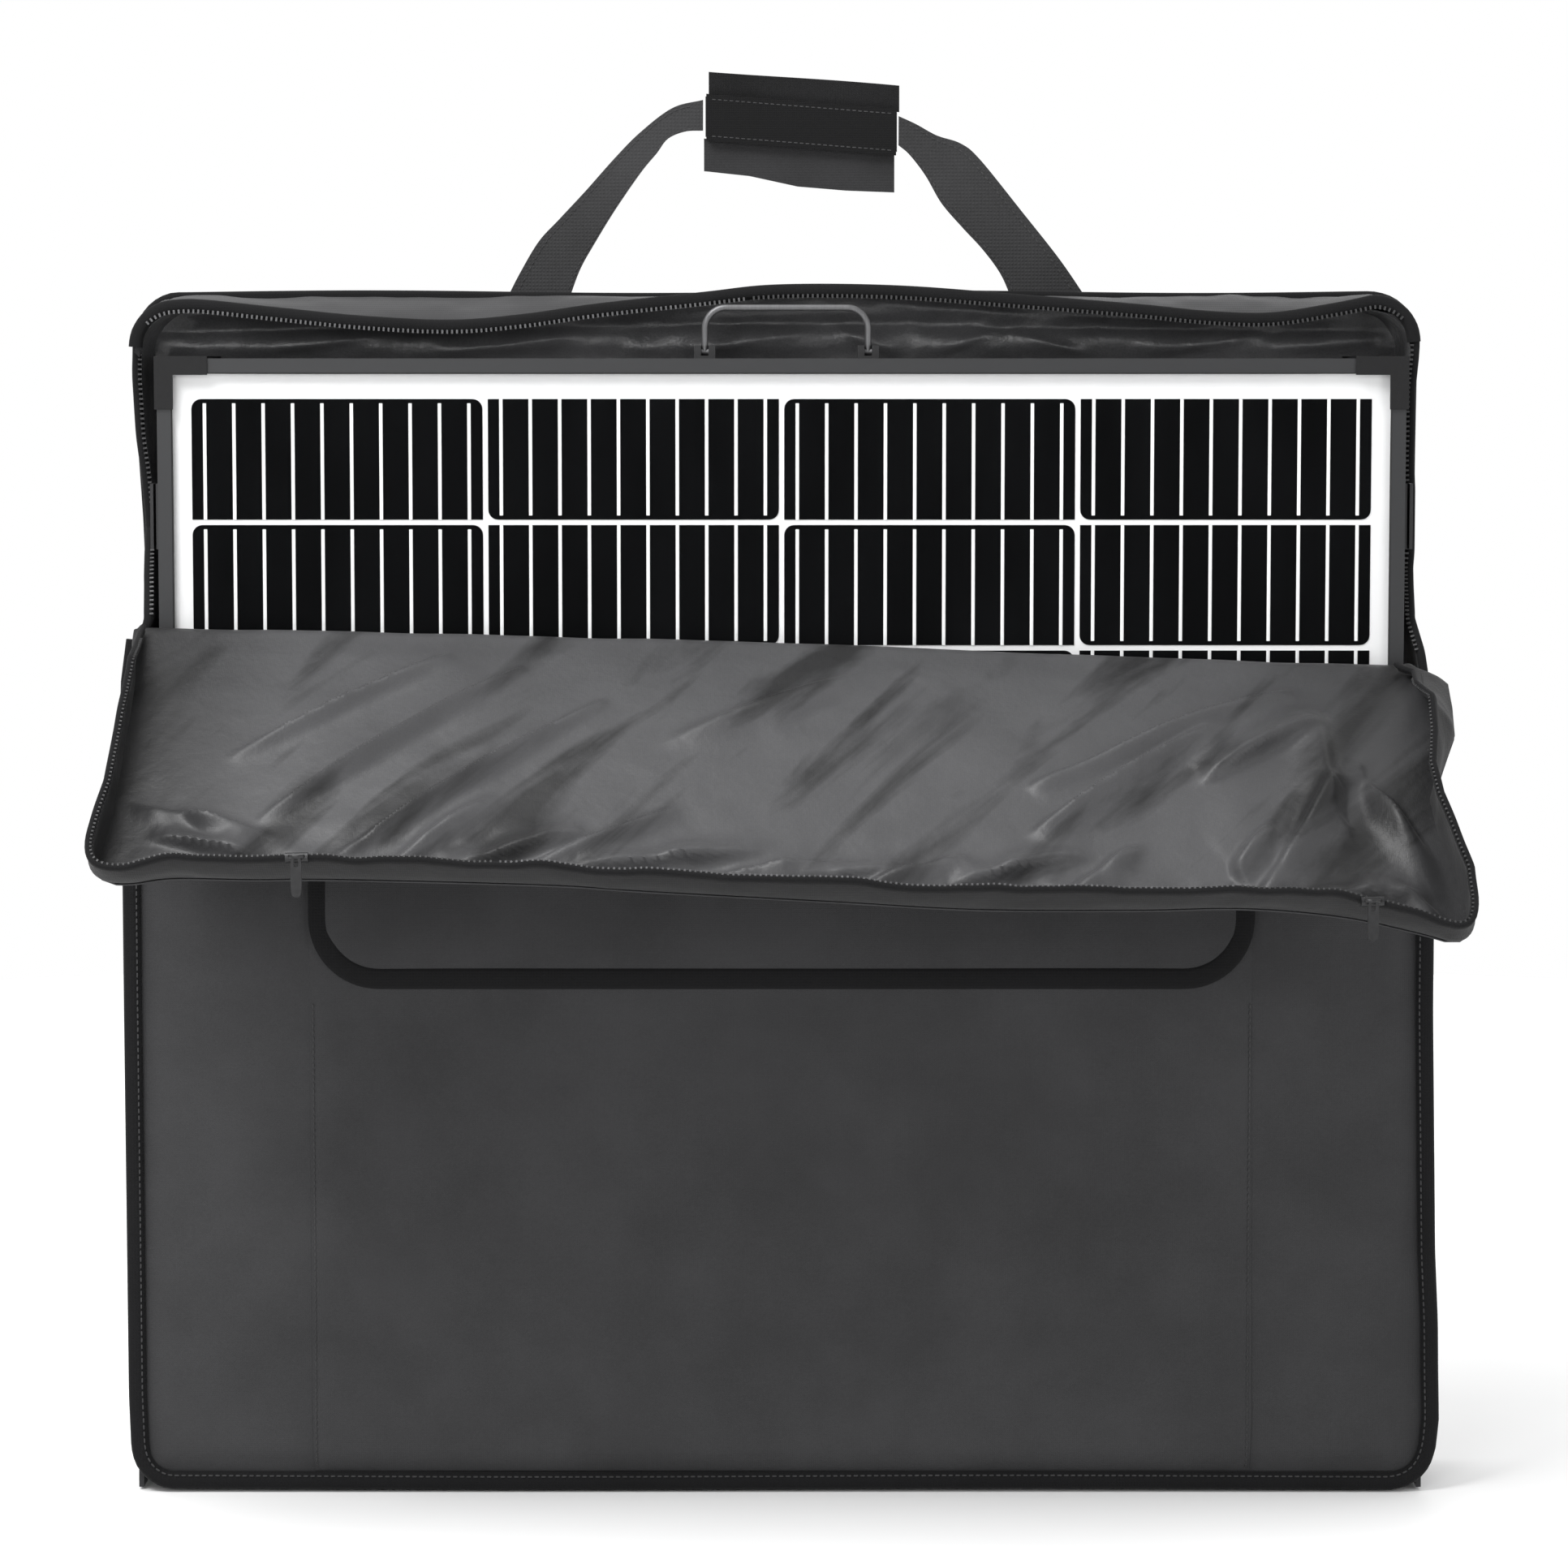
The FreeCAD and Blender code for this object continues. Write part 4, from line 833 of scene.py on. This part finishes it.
piece = padMesh("pocketCoverPad", coverSheet(coverFace), coverSheet(lambda x, z, share: -47.0 + 0 * x),
                [looks["bag_fabric"]], body="pocket_lid", slot="bag_fabric", instead=("pocket_cover",))
outlinePoints = coverOutline(cover["band"] / 2)
line = np.stack([outlinePoints[:, 0], np.full(len(outlinePoints), -48.5), outlinePoints[:, 1]], axis=1)
sweepMesh("pocketCoverTape", line, toFront, roundSection(cover["band"], 3.6, 3.5),
          [looks["binding"]], body="pocket_lid", slot="binding", instead=("pocket_cover_piping",))
print("pocket made")

# front flap, hanging open as a tray
tray = {
    "hemY": -212.0,
    "zipReach": -30.0,
    "zipRise": 14.0,
    "wallThick": 2.6,
    "corner": 15,
    "half": 396.0,
    "long": 210.0,
}
hemAt = ([-396, -372, -347, -300, -269, -228, -128, -76, 30, 110, 200, 264, 320, 360, 396],
         [398.5, 397, 400, 399, 399, 398, 394.5, 391, 385, 380.5, 380, 381, 376, 366, 354])
hemSmooth = curveThrough(np.stack(hemAt, axis=1), 200)


def hemZ(x):
    return np.interp(x, hemSmooth[:, 0], hemSmooth[:, 1])


trayNormal = np.array([0, -0.616, 0.788])
trayFolds = [
    # start across, start down, end across, end down, half width, height, lean
    (-385, 150, -300, 176, 7, 7, 0.4), (-392, 120, -330, 182, 8, -5, 0.2),
    (-360, 178, -300, 196, 6, 6, -0.5), (-322, 110, -205, 22, 5.5, 6, 0.6),
    (-300, 160, -160, 34, 5, 6.5, 0.6), (-258, 196, -110, 62, 5, 6, 0.55),
    (-225, 204, -172, 150, 8, 6, 0.4), (-190, 205, -120, 172, 7, 7, -0.4),
    (-150, 206, -66, 150, 6, 6, 0.5), (-116, 200, -20, 178, 8, 7, -0.5),
    (-60, 206, 30, 184, 7, 6, 0.4), (-10, 204, 66, 186, 8, 6, -0.4), (-60, 90, 40, 30, 9, 4.5, 0.5),
    (10, 74, 70, 46, 10, -6, 0.2), (40, 206, 100, 176, 8, 7, 0.5), (72, 30, 118, 62, 9, -7, 0.3),
    (110, 36, 160, 84, 9, -7, -0.3), (96, 196, 168, 172, 8, 7, -0.5),
    (150, 150, 250, 72, 7, 8, 0.6), (170, 96, 208, 34, 12, -6, 0.3), (150, 116, 300, 30, 6, 7, 0.5),
    (160, 205, 222, 150, 9, 7, 0.4), (205, 180, 240, 96, 14, -8, 0.3),
    (250, 110, 318, 60, 9, 8, -0.5), (255, 190, 284, 150, 8, 9, 0.4),
    (240, 152, 262, 196, 6, -7, 0.4), (275, 200, 330, 110, 9, 8, 0.5),
    (318, 58, 330, 150, 12, 6, 0.4), (330, 140, 352, 96, 12, -7, 0.3),
    (300, 206, 372, 184, 9, 8, -0.4), (345, 96, 392, 176, 10, 8, 0.5),
    (360, 190, 396, 206, 7, 7, 0.4), (376, 60, 388, 150, 7, -5, 0.3),
]


leftDraw = ([0, 14, 45, 75, 135, 160, 190, 210], [2, 2, 4.5, 6, 8, 8.5, 5, 2])
rightDraw = ([0, 6, 14, 36, 60, 86, 111, 134, 158, 181, 210],
             [-9, -4, 9, 9, 7, -3.8, -14, -13, -8, -3, -4])


def trayFloor(x, down, relief=True):
    # a point of the tray's floor; down runs from the fold, 0, to the hem
    share = np.asarray(down) / tray["long"]
    y = -47.0 + (tray["hemY"] + 47.0) * share
    z = foldZ(x) * (1 - share) + hemZ(x) * share
    lift = 6.0 * np.sin(math.pi * np.clip(share, 0, 1)) ** 1.1
    hollow = np.where(x < 0, -4 * smoothStep(-x, 120, 398), 8 * smoothStep(x, 300, 398) ** 1.6)
    lift = lift + hollow * np.sin(math.pi * np.clip(share * 0.8 + 0.02, 0, 1))
    if relief:
        inside = smoothStep(386 - np.abs(x), 0, 22) * smoothStep(down, 4, 26)
        folds = foldRelief(x, down, trayFolds)
        crumple = 2.2 * softNoise(x, down, 26, 61) + 1.4 * softNoise(x, down, 12, 62)
        creases = 1.6 * folds + 1.3 * smoothStep(down, 140, 200) * crumple
        creases = creases + 2.0 * softNoise(x, down, 62, 63) + 0.6 * softNoise(x, down, 19, 64)
        # no crease sinks under the sheet below
        lift = lift + inside * (0.5 * (creases + np.sqrt(creases**2 + 6)) - 0.6)
    spread = 1 + 0.019 * smoothStep(down, 20, 200)
    drawn = np.where(x < 0, np.interp(down, *leftDraw), np.interp(down, *rightDraw))
    across = x * spread + drawn * (np.abs(x) / tray["half"]) ** 5 + 0 * share
    return np.stack([across, y + trayNormal[1] * lift, z + trayNormal[2] * lift], axis=-1)


def trayOutline(count):
    # round the tray's floor from the left fold, along the hem, to the right fold: across and down
    r, half, low = tray["corner"], tray["half"], tray["long"] - 2
    left = [(-half, d) for d in np.linspace(3, low - r, 50)]
    lowerLeft = quarterTurn(-half + r, low - r, r, 180, 12, clockwise=True)[1:-1]
    across = [(x, low) for x in np.linspace(-half + r, half - r, 200)]
    lowerRight = quarterTurn(half - r, low - r, r, 90, 12, clockwise=True)[1:-1]
    right = [(half, d) for d in np.linspace(low - r, 3, 50)]
    return evenPoints(np.array(left + lowerLeft + across + lowerRight + right), count)


outline = trayOutline(520)
base = trayFloor(outline[:, 0], outline[:, 1], relief=False)


def wallLean(x, down):
    # from the foot of the tray's wall to its zip edge, in mm
    rise = np.interp(down, [0, 10, 62, 208], [4, 7, 31, 29])
    atHem = smoothStep(down, 186, 207)
    leftIn = np.interp(down, [0, 60, 208], [5, 4, 1])
    rightIn = np.interp(down, [0, 14, 36, 60, 86, 111, 134, 208], [12, 20, 22, 16, 8, 3, 3, 1])
    inward = np.where(x < 0, leftIn, -rightIn) * smoothStep(np.abs(x), 340, 392)
    wave = 1.6 * softNoise(x, down, 34, 71) + 0.8 * softNoise(x, down, 15, 72)
    sideways = np.stack([inward, trayNormal[1] * rise, trayNormal[2] * rise], axis=1)
    hem = np.stack([inward * 0.4, tray["zipReach"] + 0 * x, tray["zipRise"] + 0 * x], axis=1)
    lean = sideways * (1 - atHem[:, None]) + hem * atHem[:, None]
    lean[:, 2] += wave * smoothStep(down, 20, 80)
    return lean


lean = wallLean(outline[:, 0], outline[:, 1])
tangent = np.gradient(base, axis=0)
outward = np.cross(lean, tangent)
outward /= np.linalg.norm(outward, axis=1, keepdims=True)
if outward[0, 0] > 0:
    outward = -outward
wallRows, wallInner = [], []
for s in np.linspace(0, 1, 13):
    crumple = softNoise(outline[:, 0] + outline[:, 1], np.full(len(outline), s * 30), 22, 73)
    puff = (2.4 + 1.5 * crumple) * math.sin(math.pi * s)
    row = base + lean * s + outward * puff[:, None]
    wallRows.append(row)
    wallInner.append(row - outward * tray["wallThick"])
# outer face: the darker fabric with painted shade; inner face: the tray lining with painted shade
piece = padMesh("trayWall", np.array(wallRows), np.array(wallInner),
                [looks["flap_cloth"], looks["tray_lining"]], body="front_flap", slot="bag_fabric",
                instead=("flap_side_walls", "flap_hem"))

down = np.concatenate([np.linspace(0, 20, 10), np.linspace(22, 206.5, 110)])
across = np.linspace(-395, 395, 420)
gx, gd = np.meshgrid(across, down)
cornerCut = tray["corner"] + 1.0


def roundCorner(x, d):
    # squeeze the lower corners of a grid onto a rounded outline
    over = np.clip((d - (207 - cornerCut)) / cornerCut, 0, 1)
    half = 395 - cornerCut * (1 - np.sqrt(np.maximum(0, 1 - over**2)))
    return x / 395 * half


gx = roundCorner(gx, gd)
liningGrid = trayFloor(gx, gd)
# the lining goes on over the fold, down behind the front wall
overFold = curveThrough([(-37.0, -30), (-36.9, -16), (-37.4, -6), (-39.6, -0.6), (-43.0, 1.2),
                         (-46.4, 0.2)], 16)[:-1]
insideX = np.broadcast_to(across, (len(overFold), len(across)))
insideY = np.broadcast_to(overFold[:, :1], insideX.shape)
ripple = 0.5 * softNoise(insideX, overFold[:, 1:2] * 2 + 0 * insideX, 38, 91) * (overFold[:, 1:2] > -20)
insideZ = foldZ(insideX) + overFold[:, 1:2] + ripple
drawnX = insideX - 8 * smoothStep(insideX, 300, 395) + 2 * smoothStep(-insideX, 300, 395)
insideGrid = np.stack([drawnX, insideY, insideZ], axis=2)
# the tray's lining takes the tray_lining look, with its painted shade
piece = sheetMesh("trayLining", np.vstack([insideGrid, liningGrid]), 0.8, [looks["tray_lining"]],
                  trayNormal, body=None, slot="lining", instead=("flap_panel",))
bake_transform(piece)

down = np.linspace(2, 207.5, 60)
across = np.linspace(-396, 396, 160)
gx, gd = np.meshgrid(across, down)
gx = roundCorner(gx, gd)
upper = trayFloor(gx, gd, relief=False) - trayNormal * 1.6
edgeSoft = edgeRise(gx, gd, -12, 207.5, 396, 14)[..., None]
slack = 3.2 + 0.5 * softNoise(gx, gd, 60, 81)[..., None]
lower = upper - trayNormal * (1.0 + slack * edgeSoft)
piece = padMesh("trayOuterPad", lower, upper, [looks["bag_fabric"], looks["lining"]],
                body="front_flap", slot="bag_fabric")

zipLine = base + lean * 1.02 + outward * 0.4
along = lean / np.linalg.norm(lean, axis=1, keepdims=True)
sweepMesh("trayZipTape", zipLine, outward, roundSection(6.5, 3.6, 2.6), [looks["zip_tape"]],
          body="front_flap", slot="zip_tape", instead=("flap_zip",))
toothLine = base + lean * 1.0 - outward * 1.2 + along * 2.2
# the middle of the hem's zip takes the lighter teeth, painted light; both ends the darker, painted
# shade
for word, first, last, look in (("Left", 10, 190, "dark_teeth"), ("Middle", 190, 372, "zip_teeth"),
                                ("Right", 372, 510, "dark_teeth")):
    beads("trayZip" + word, toothLine[first:last], -outward[first:last], (1.6, 2.4, 1.7), 3.1,
          looks[look], body="front_flap", slot="zip_tape")
print("tray made")

# cloth over the fold
foldXs = np.linspace(-396.5, 396.5, 200)
# y and height above the fold, from inside the bag round to the tray
foldSection = [(-38.0, -30), (-38.0, -16), (-38.6, -7), (-40.4, -2.0), (-43.0, -0.4), (-46.2, -1.2),
               (-50.0, -4.2), (-54.5, -8.0)]
foldOut = [(-44.5, -30), (-45.0, -20), (-45.5, -13), (-45.8, -8), (-46.6, -5.0), (-48.0, -5.0),
           (-50.5, -7.2), (-54.0, -10.5)]


def foldGrid(section, seed):
    ring = curveThrough(section, 14)
    x = np.broadcast_to(foldXs, (14, len(foldXs)))
    y = np.broadcast_to(ring[:, :1], x.shape)
    z = foldZ(x) + ring[:, 1:2] + 0.7 * softNoise(x, ring[:, 1:2] * 2 + 0 * x, 38, seed)
    return np.stack([x - 9 * smoothStep(x, 300, 396.5) + 3 * smoothStep(-x, 300, 396.5), y, z], axis=2)


piece = padMesh("foldCloth", foldGrid(foldSection, 91), foldGrid(foldOut, 91),
                [looks["lining"], looks["bag_fabric"]], body=None, slot="lining")
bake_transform(piece)
print("fold made")

# carry handle and its wrap
handle = {"y": 50.55, "thick": 2.5}
strapLines = {  # the inner and the outer edge of each strap, across and up
    "left": (
        [(-133, 736.5), (-126, 755), (-117, 771), (-104, 792), (-88, 815), (-78, 827),
         (-71, 836), (-60, 840.5), (-49, 841)],
        [(-172, 736.5), (-164, 752), (-152, 772), (-139, 786), (-122, 804), (-104, 824),
         (-88, 840), (-68, 855), (-49, 860)],
    ),
    "right": (
        [(73, 832), (80, 826), (90, 813), (100, 796), (113, 781), (126, 767), (137, 752), (144, 736.5)],
        [(73, 850), (84, 845), (97, 838), (112, 833), (124, 823), (150, 791), (174, 761), (191, 736.5)],
    ),
}


def ribbonGrid(first, second, rows, cols, wave):
    a, b = curveThrough(first, rows), curveThrough(second, rows)
    share = np.linspace(0, 1, cols)
    flat = a[:, None] * (1 - share[None, :, None]) + b[:, None] * share[None, :, None]
    y = wave(np.linspace(0, 1, rows)[:, None], share[None, :]) + 0 * flat[..., 0]
    return np.stack([flat[..., 0], y, flat[..., 1]], axis=2)


def strapWave(turn):
    # a strap twists by turn in the middle, and waves a little
    sway = lambda t, s: 1.5 * (s - 0.5) * turn + 0.6 * np.sin(7 * t)
    return lambda t, s: handle["y"] + np.sin(math.pi * t) * sway(t, s)


for word, turn in (("left", 1.6), ("right", -1.8)):
    grid = ribbonGrid(*strapLines[word], 70, 17, strapWave(turn))
    piece = sheetMesh(word + "HandleStrap", grid, handle["thick"], [looks["webbing"]], toFront,
                      body="carry_handle", slot="webbing", instead=(word + "_strap",), sharp=60)
    for k, share in enumerate((0.12, 0.88)):
        seamLine = grid[3:-3, int(share * 16)] + np.array([0, -handle["thick"] / 2 - 0.1, 0])
        stitches(f"{word}StrapStitches{k}", seamLine, toFront, "strap", body="carry_handle",
                 slot="webbing")


def gripGrid(low, high, y, x0=-47.5, x1=72.0):
    # a sheet between a lower and an upper line; y is its depth at x and at a share of its height
    xs, t = np.linspace(x0, x1, 60), np.linspace(0, 1, 12)[:, None]
    z = low(xs) * (1 - t) + high(xs) * t
    x = np.broadcast_to(xs, z.shape)
    return np.stack([x, y(x, t + 0 * x), z], axis=2)


tilt = lambda z: (lambda x: z - (x - 12) * 0.078)  # the grip leans down to the right
grid = gripGrid(tilt(832.5), tilt(857.5), lambda x, t: handle["y"] + 0 * x)
piece = sheetMesh("gripBand", grid, handle["thick"], [looks["webbing"]], toFront,
                  body="carry_handle", slot="webbing", instead=("grip_webbing",))
grid = gripGrid(tilt(830.2), tilt(859.2), lambda x, t: 49.35 - 0.15 * np.sin(math.pi * t), -47, 71.5)
piece = sheetMesh("wrapFace", grid, 0.7, [looks["grip_cloth"]], toFront, body="carry_handle",
                  slot="webbing")
grid = gripGrid(tilt(831), tilt(858), lambda x, t: 52.9 + 0 * x, -47, 71.5)
piece = sheetMesh("wrapBase", grid, 1.6, [looks["hook_loop"]], toFront, body="carry_handle",
                  slot="hook_loop", instead=("wrap_core",))
for k, rise in enumerate((833.2, 856.0)):
    line = np.array([[x, 49.0, tilt(rise)(x)] for x in np.linspace(-44, 69, 60)])
    stitches(f"gripStitches{k}", line, toFront, "grip", body="carry_handle", slot="webbing")
wingHigh = lambda x: tilt(873.5)(x) + 0.5 * np.sin(x / 30)
grid = gripGrid(tilt(857.4), wingHigh, lambda x, t: 53.5 + 0.4 * t**2, -45.5, 73.5)
piece = sheetMesh("upperWing", grid, 1.6, [looks["hook_loop"]], toFront, body="upper_wing",
                  slot="hook_loop", instead=("wrap_upper_wing",))


def wingLow(x):
    return np.interp(x, [-48, -20, 10, 40, 71], [816.0, 813.0, 806.5, 804.0, 802.8])


wingDepth = lambda x, t: 55.1 - 0.5 * (1 - t) ** 2 + 0.2 * softNoise(x, t * 25, 14, 97)
grid = gripGrid(wingLow, tilt(831.6), wingDepth, -48.5, 70.5)
piece = sheetMesh("lowerWing", grid, 1.6, [looks["wing_cloth"]], toFront, body="lower_wing",
                  slot="hook_loop", instead=("wrap_lower_wing",))

patchLow, patchHigh = inMm("handle_patches")
patch = {"half": 26, "seamHalf": 22, "seamIn": 4}
for side, middle in (("left", -152.0), ("right", 164.0)):
    half, seamHalf = patch["half"], patch["seamHalf"]
    xs, zs = np.linspace(middle - half, middle + half, 18), np.linspace(patchLow[2], patchHigh[2], 16)
    gx, gz = np.meshgrid(xs, zs)
    rise = edgeRise(gx - middle, gz, patchLow[2], patchHigh[2], half, 3)
    outer = np.stack([gx, 47.4 + 1.5 * rise, gz], axis=2)
    inner = np.stack([gx, 43.6 + 0 * gx, gz], axis=2)
    padMesh(side + "HandlePatch", outer, inner, [looks["webbing"]], slot="webbing",
            instead=("handle_patches",))
    low, high = patchLow[2] + patch["seamIn"], patchHigh[2] - patch["seamIn"]
    square = [(-seamHalf, low), (seamHalf, low), (seamHalf, high), (-seamHalf, high)]
    runs = square + [square[0], square[2], square[3], square[1]]
    line = np.array([[middle + x, 49.1, z] for x, z in runs], float)
    stitches(side + "PatchStitches", evenPoints(line, 200), toBack, "grip", slot="webbing")
print("handle made")

# zip sliders and pulls
slider = {"length": 13, "section": (6.4, 5.2), "tab": (6.4, 24, 1.3), "hole": (2.6, 5.0)}


def tabPoints(width, length, count):
    # a rounded tab hanging from its top edge, across and up
    r = width / 2
    angles = np.linspace(0, 2 * math.pi, count, endpoint=False) + 0.001
    c, s = np.cos(angles), np.sin(angles)
    across = r * np.sign(c) * np.abs(c) ** 0.6
    return np.stack([across, length / 2 * (np.sign(s) * np.abs(s) ** 0.45 - 1)], axis=1)


for word in ("left", "right"):
    low, high = inMm(word + "_zip_slider")
    middle = float((low[0] + high[0]) / 2)
    onHem = np.where(outline[:, 1] > 200)[0]
    at = onHem[np.argmin(np.abs(zipLine[onHem, 0] - middle))]
    seat = zipLine[at] + along[at] * 1.6
    slideBy = np.linspace(-slider["length"] / 2, slider["length"] / 2, 12)
    path = np.array([[middle + dx, seat[1], seat[2] + 0.02 * dx] for dx in slideBy])
    sweepMesh(word + "SliderBody", path, -outward[at], roundSection(*slider["section"], 3.2),
              [looks["zip_metal"]], body=word + "_slider", slot="zip_metal",
              instead=(word + "_zip_slider",))
    arch = np.array([[middle + 4.2 * math.cos(t), seat[1] - 2.6 - 2.8 * math.sin(t), seat[2] + 1.0]
                     for t in np.linspace(0, math.pi, 14)])
    sweepMesh(word + "SliderBridge", arch, (0, 0, 1), roundSection(1.5, 2.2, 2.4, 10),
              [looks["zip_metal"]], body=word + "_slider", slot="zip_metal")
    n = 28  # points round the tab, and round its hole
    outerRing = tabPoints(*slider["tab"][:2], n)
    innerRing = tabPoints(*slider["hole"], n) + np.array([0, -1.6])
    thick = slider["tab"][2] / 2
    tab = []
    for depth in (-thick, thick):
        for ring in (outerRing, innerRing):
            tab += [(middle + a, seat[1] - 5.0 + depth, seat[2] + 1.8 + b) for a, b in ring]
    faces = []
    for k in range(n):
        m = (k + 1) % n
        faces += [[k, m, n + m, n + k], [2 * n + m, 2 * n + k, 3 * n + k, 3 * n + m],
                  [m, k, 2 * n + k, 2 * n + m], [n + k, n + m, 3 * n + m, 3 * n + k]]
    makePiece(word + "PullTab", tab, faces, [looks["zip_metal"]], body=word + "_pull", slot="zip_metal",
              instead=(word + "_zip_pull",), sharp=40)
print("sliders made")

# cells, ribbons and gasket of the panels
panel = {"pitch": (181.1, 76.9), "cell": (177.8, 73.6), "corner": 6.0, "ribbonWidth": 2.1,
         "ribbonPitch": 17.95, "ribbonStart": 8.0, "ribbonInset": 2.6, "lip": 6.6}


def cellOutline(left, low, right, top, roundTop):
    # half a cell: two of its corners are rounded, and two are cut square
    r = panel["corner"]
    if roundTop:
        upper = quarterTurn(right - r, top - r, r, 0, 6) + quarterTurn(left + r, top - r, r, 90, 6)
        return [(left, low), (right, low)] + upper
    lower = quarterTurn(left + r, low + r, r, 180, 6) + quarterTurn(right - r, low + r, r, 270, 6)
    return lower + [(right, top), (left, top)]


def bandFaces(first, count):
    # faces round a band between two rings of points that follow each other
    return [[first + k, first + (k + 1) % count, first + count + (k + 1) % count, first + count + k]
            for k in range(count)]


for half, sign in (("front", -1), ("back", 1)):
    low, high = inMm(half + "_cells")
    face = (low[1] if sign < 0 else high[1]) + sign * 0.12
    rear = (high[1] if sign < 0 else low[1]) - sign * 0.02
    points, faces = [], []
    ribbonPoints, ribbonFaces = [], []
    for column in range(4):
        for row in range(8):
            left = low[0] + column * panel["pitch"][0]
            top = high[2] - row * panel["pitch"][1]
            right, bottom = left + panel["cell"][0], top - panel["cell"][1]
            roundTop = column % 2 == 0
            ring = cellOutline(left, bottom, right, top, roundTop)
            first, count = len(points), len(ring)
            points += [(x, face, z) for x, z in ring] + [(x, rear, z) for x, z in ring]
            faces.append(list(range(first, first + count)))
            faces.append(list(range(first + 2 * count - 1, first + count - 1, -1)))
            faces += bandFaces(first, count)
            inset = panel["ribbonInset"]
            ends = (bottom, top - inset) if roundTop else (bottom + inset, top)
            for k in range(10):
                x = left + panel["ribbonStart"] + k * panel["ribbonPitch"]
                w = panel["ribbonWidth"] / 2
                first = len(ribbonPoints)
                for z in ends:
                    for dx, rise in ((-w, 0.02), (-w * 0.45, 0.32), (w * 0.45, 0.32), (w, 0.02)):
                        ribbonPoints.append((x + dx, face + sign * rise, z))
                    for dx in (w, -w):
                        ribbonPoints.append((x + dx, face - sign * 0.02, z))
                ribbonFaces += bandFaces(first, 6)
                ribbonFaces += [[first + c for c in range(6)][::-1], [first + 6 + c for c in range(6)]]
    makePiece(half + "CellRows", points, faces, [looks["silicon"]], body="panel_case", slot="silicon",
              instead=(half + "_cells",), sharp=30)
    makePiece(half + "Ribbons", ribbonPoints, ribbonFaces, [looks["busbar"]], body="panel_case",
              slot="silicon", sharp=30)
    glassLow, glassHigh = inMm(half + "_glass")
    x0, z0 = glassLow[[0, 2]] + panel["lip"]
    x1, z1 = glassHigh[[0, 2]] - panel["lip"]
    y = (glassLow[1] if sign < 0 else glassHigh[1]) + sign * 0.6
    corners = [(x0, z0), (x1, z0), (x1, z1), (x0, z1)]
    loop = []
    for a, b in zip(corners, corners[1:] + corners[:1]):
        loop += [(a[0] + (b[0] - a[0]) * t, a[1] + (b[1] - a[1]) * t)
                 for t in np.linspace(0, 1, 12, endpoint=False)]
    line = np.array([[x, y, z] for x, z in loop])
    sweepMesh(half + "Gasket", line, (0, sign, 0), roundSection(1.8, 1.4, 3, 8), [looks["gasket"]],
              closed=True, body="panel_case", slot="lead_jacket")
print("panels made")

# floor, light and camera
scene = bpy.context.scene
floorMesh = bpy.data.meshes.new("studioFloor")
floorRadius, floorSides = 2.6, 64
turn = np.linspace(0, 2 * math.pi, floorSides, endpoint=False)
disc = [(floorRadius * math.cos(t), floorRadius * math.sin(t), -0.0005) for t in turn]
floorMesh.from_pydata(disc, [], [list(range(floorSides))])
floorMesh.materials.append(solidLook("paleFloor", (0.93, 0.93, 0.93), 0.01, 0.0, (0.85, 0.95), scale=5,
                                     bumpy=0.0, specular=0.1))
studioFloor = bpy.data.objects.new("studioFloor", floorMesh)
scene.collection.objects.link(studioFloor)

world = bpy.data.worlds.new("studio")
scene.world = world
world.use_nodes = True
worldNodes, worldLinks = world.node_tree.nodes, world.node_tree.links
background = worldNodes["Background"]
direction = newNode(worldNodes, "TexCoord")
split = newNode(worldNodes, "SeparateXYZ")
shade = newNode(worldNodes, "MapRange", {"From Min": -0.9, "From Max": 0.1, "To Min": 0.5,
                                         "To Max": 1.0})
worldLinks.new(direction.outputs["Generated"], split.inputs["Vector"])
worldLinks.new(split.outputs["Y"], shade.inputs["Value"])
worldLinks.new(shade.outputs["Result"], background.inputs["Color"])
background.inputs["Strength"].default_value = 1.0

lights = {  # place, aim, size and power
    "keyLight": ((-1.3, -1.5, 2.6), (0, 0, 0.45), 0.9, 58),
    "fillLight": ((2.2, -2.6, 0.8), (0, 0, 0.5), 1.2, 14),
    "frontLight": ((-0.9, -3.3, 1.3), (0, 0, 0.5), 1.0, 24),
    "topLight": ((-0.6, -0.9, 3.0), (0, -0.1, 0.5), 0.8, 20),
    "backLight": ((0.6, 2.6, 1.8), (0, 0, 0.4), 1.6, 26),
}
for name, (at, aim, size, power) in lights.items():
    lamp = bpy.data.lights.new(name, "AREA")
    lamp.size = size
    lamp.energy = power
    holder = bpy.data.objects.new(name, lamp)
    holder.location = at
    holder.rotation_mode = "QUATERNION"
    holder.rotation_quaternion = (Vector(aim) - Vector(at)).to_track_quat("-Z", "Y")
    scene.collection.objects.link(holder)

view = {"distance": 3.0, "elevation": 5.0, "aim": (0.0015, 0.0, 0.436), "frame": 0.974, "sensor": 36.0}
camera = bpy.data.objects.new("camera", bpy.data.cameras.new("camera"))
tip = math.radians(view["elevation"])
camera.location = Vector(view["aim"]) + view["distance"] * Vector((0, -math.cos(tip), math.sin(tip)))
camera.rotation_mode = "QUATERNION"
camera.rotation_quaternion = (Vector(view["aim"]) - camera.location).to_track_quat("-Z", "Y")
camera.data.sensor_width = view["sensor"]
camera.data.lens = view["sensor"] * view["distance"] / view["frame"]
camera.data.clip_end = 50
scene.collection.objects.link(camera)
scene.camera = camera
scene.view_settings.view_transform = "Standard"
print("studio made")
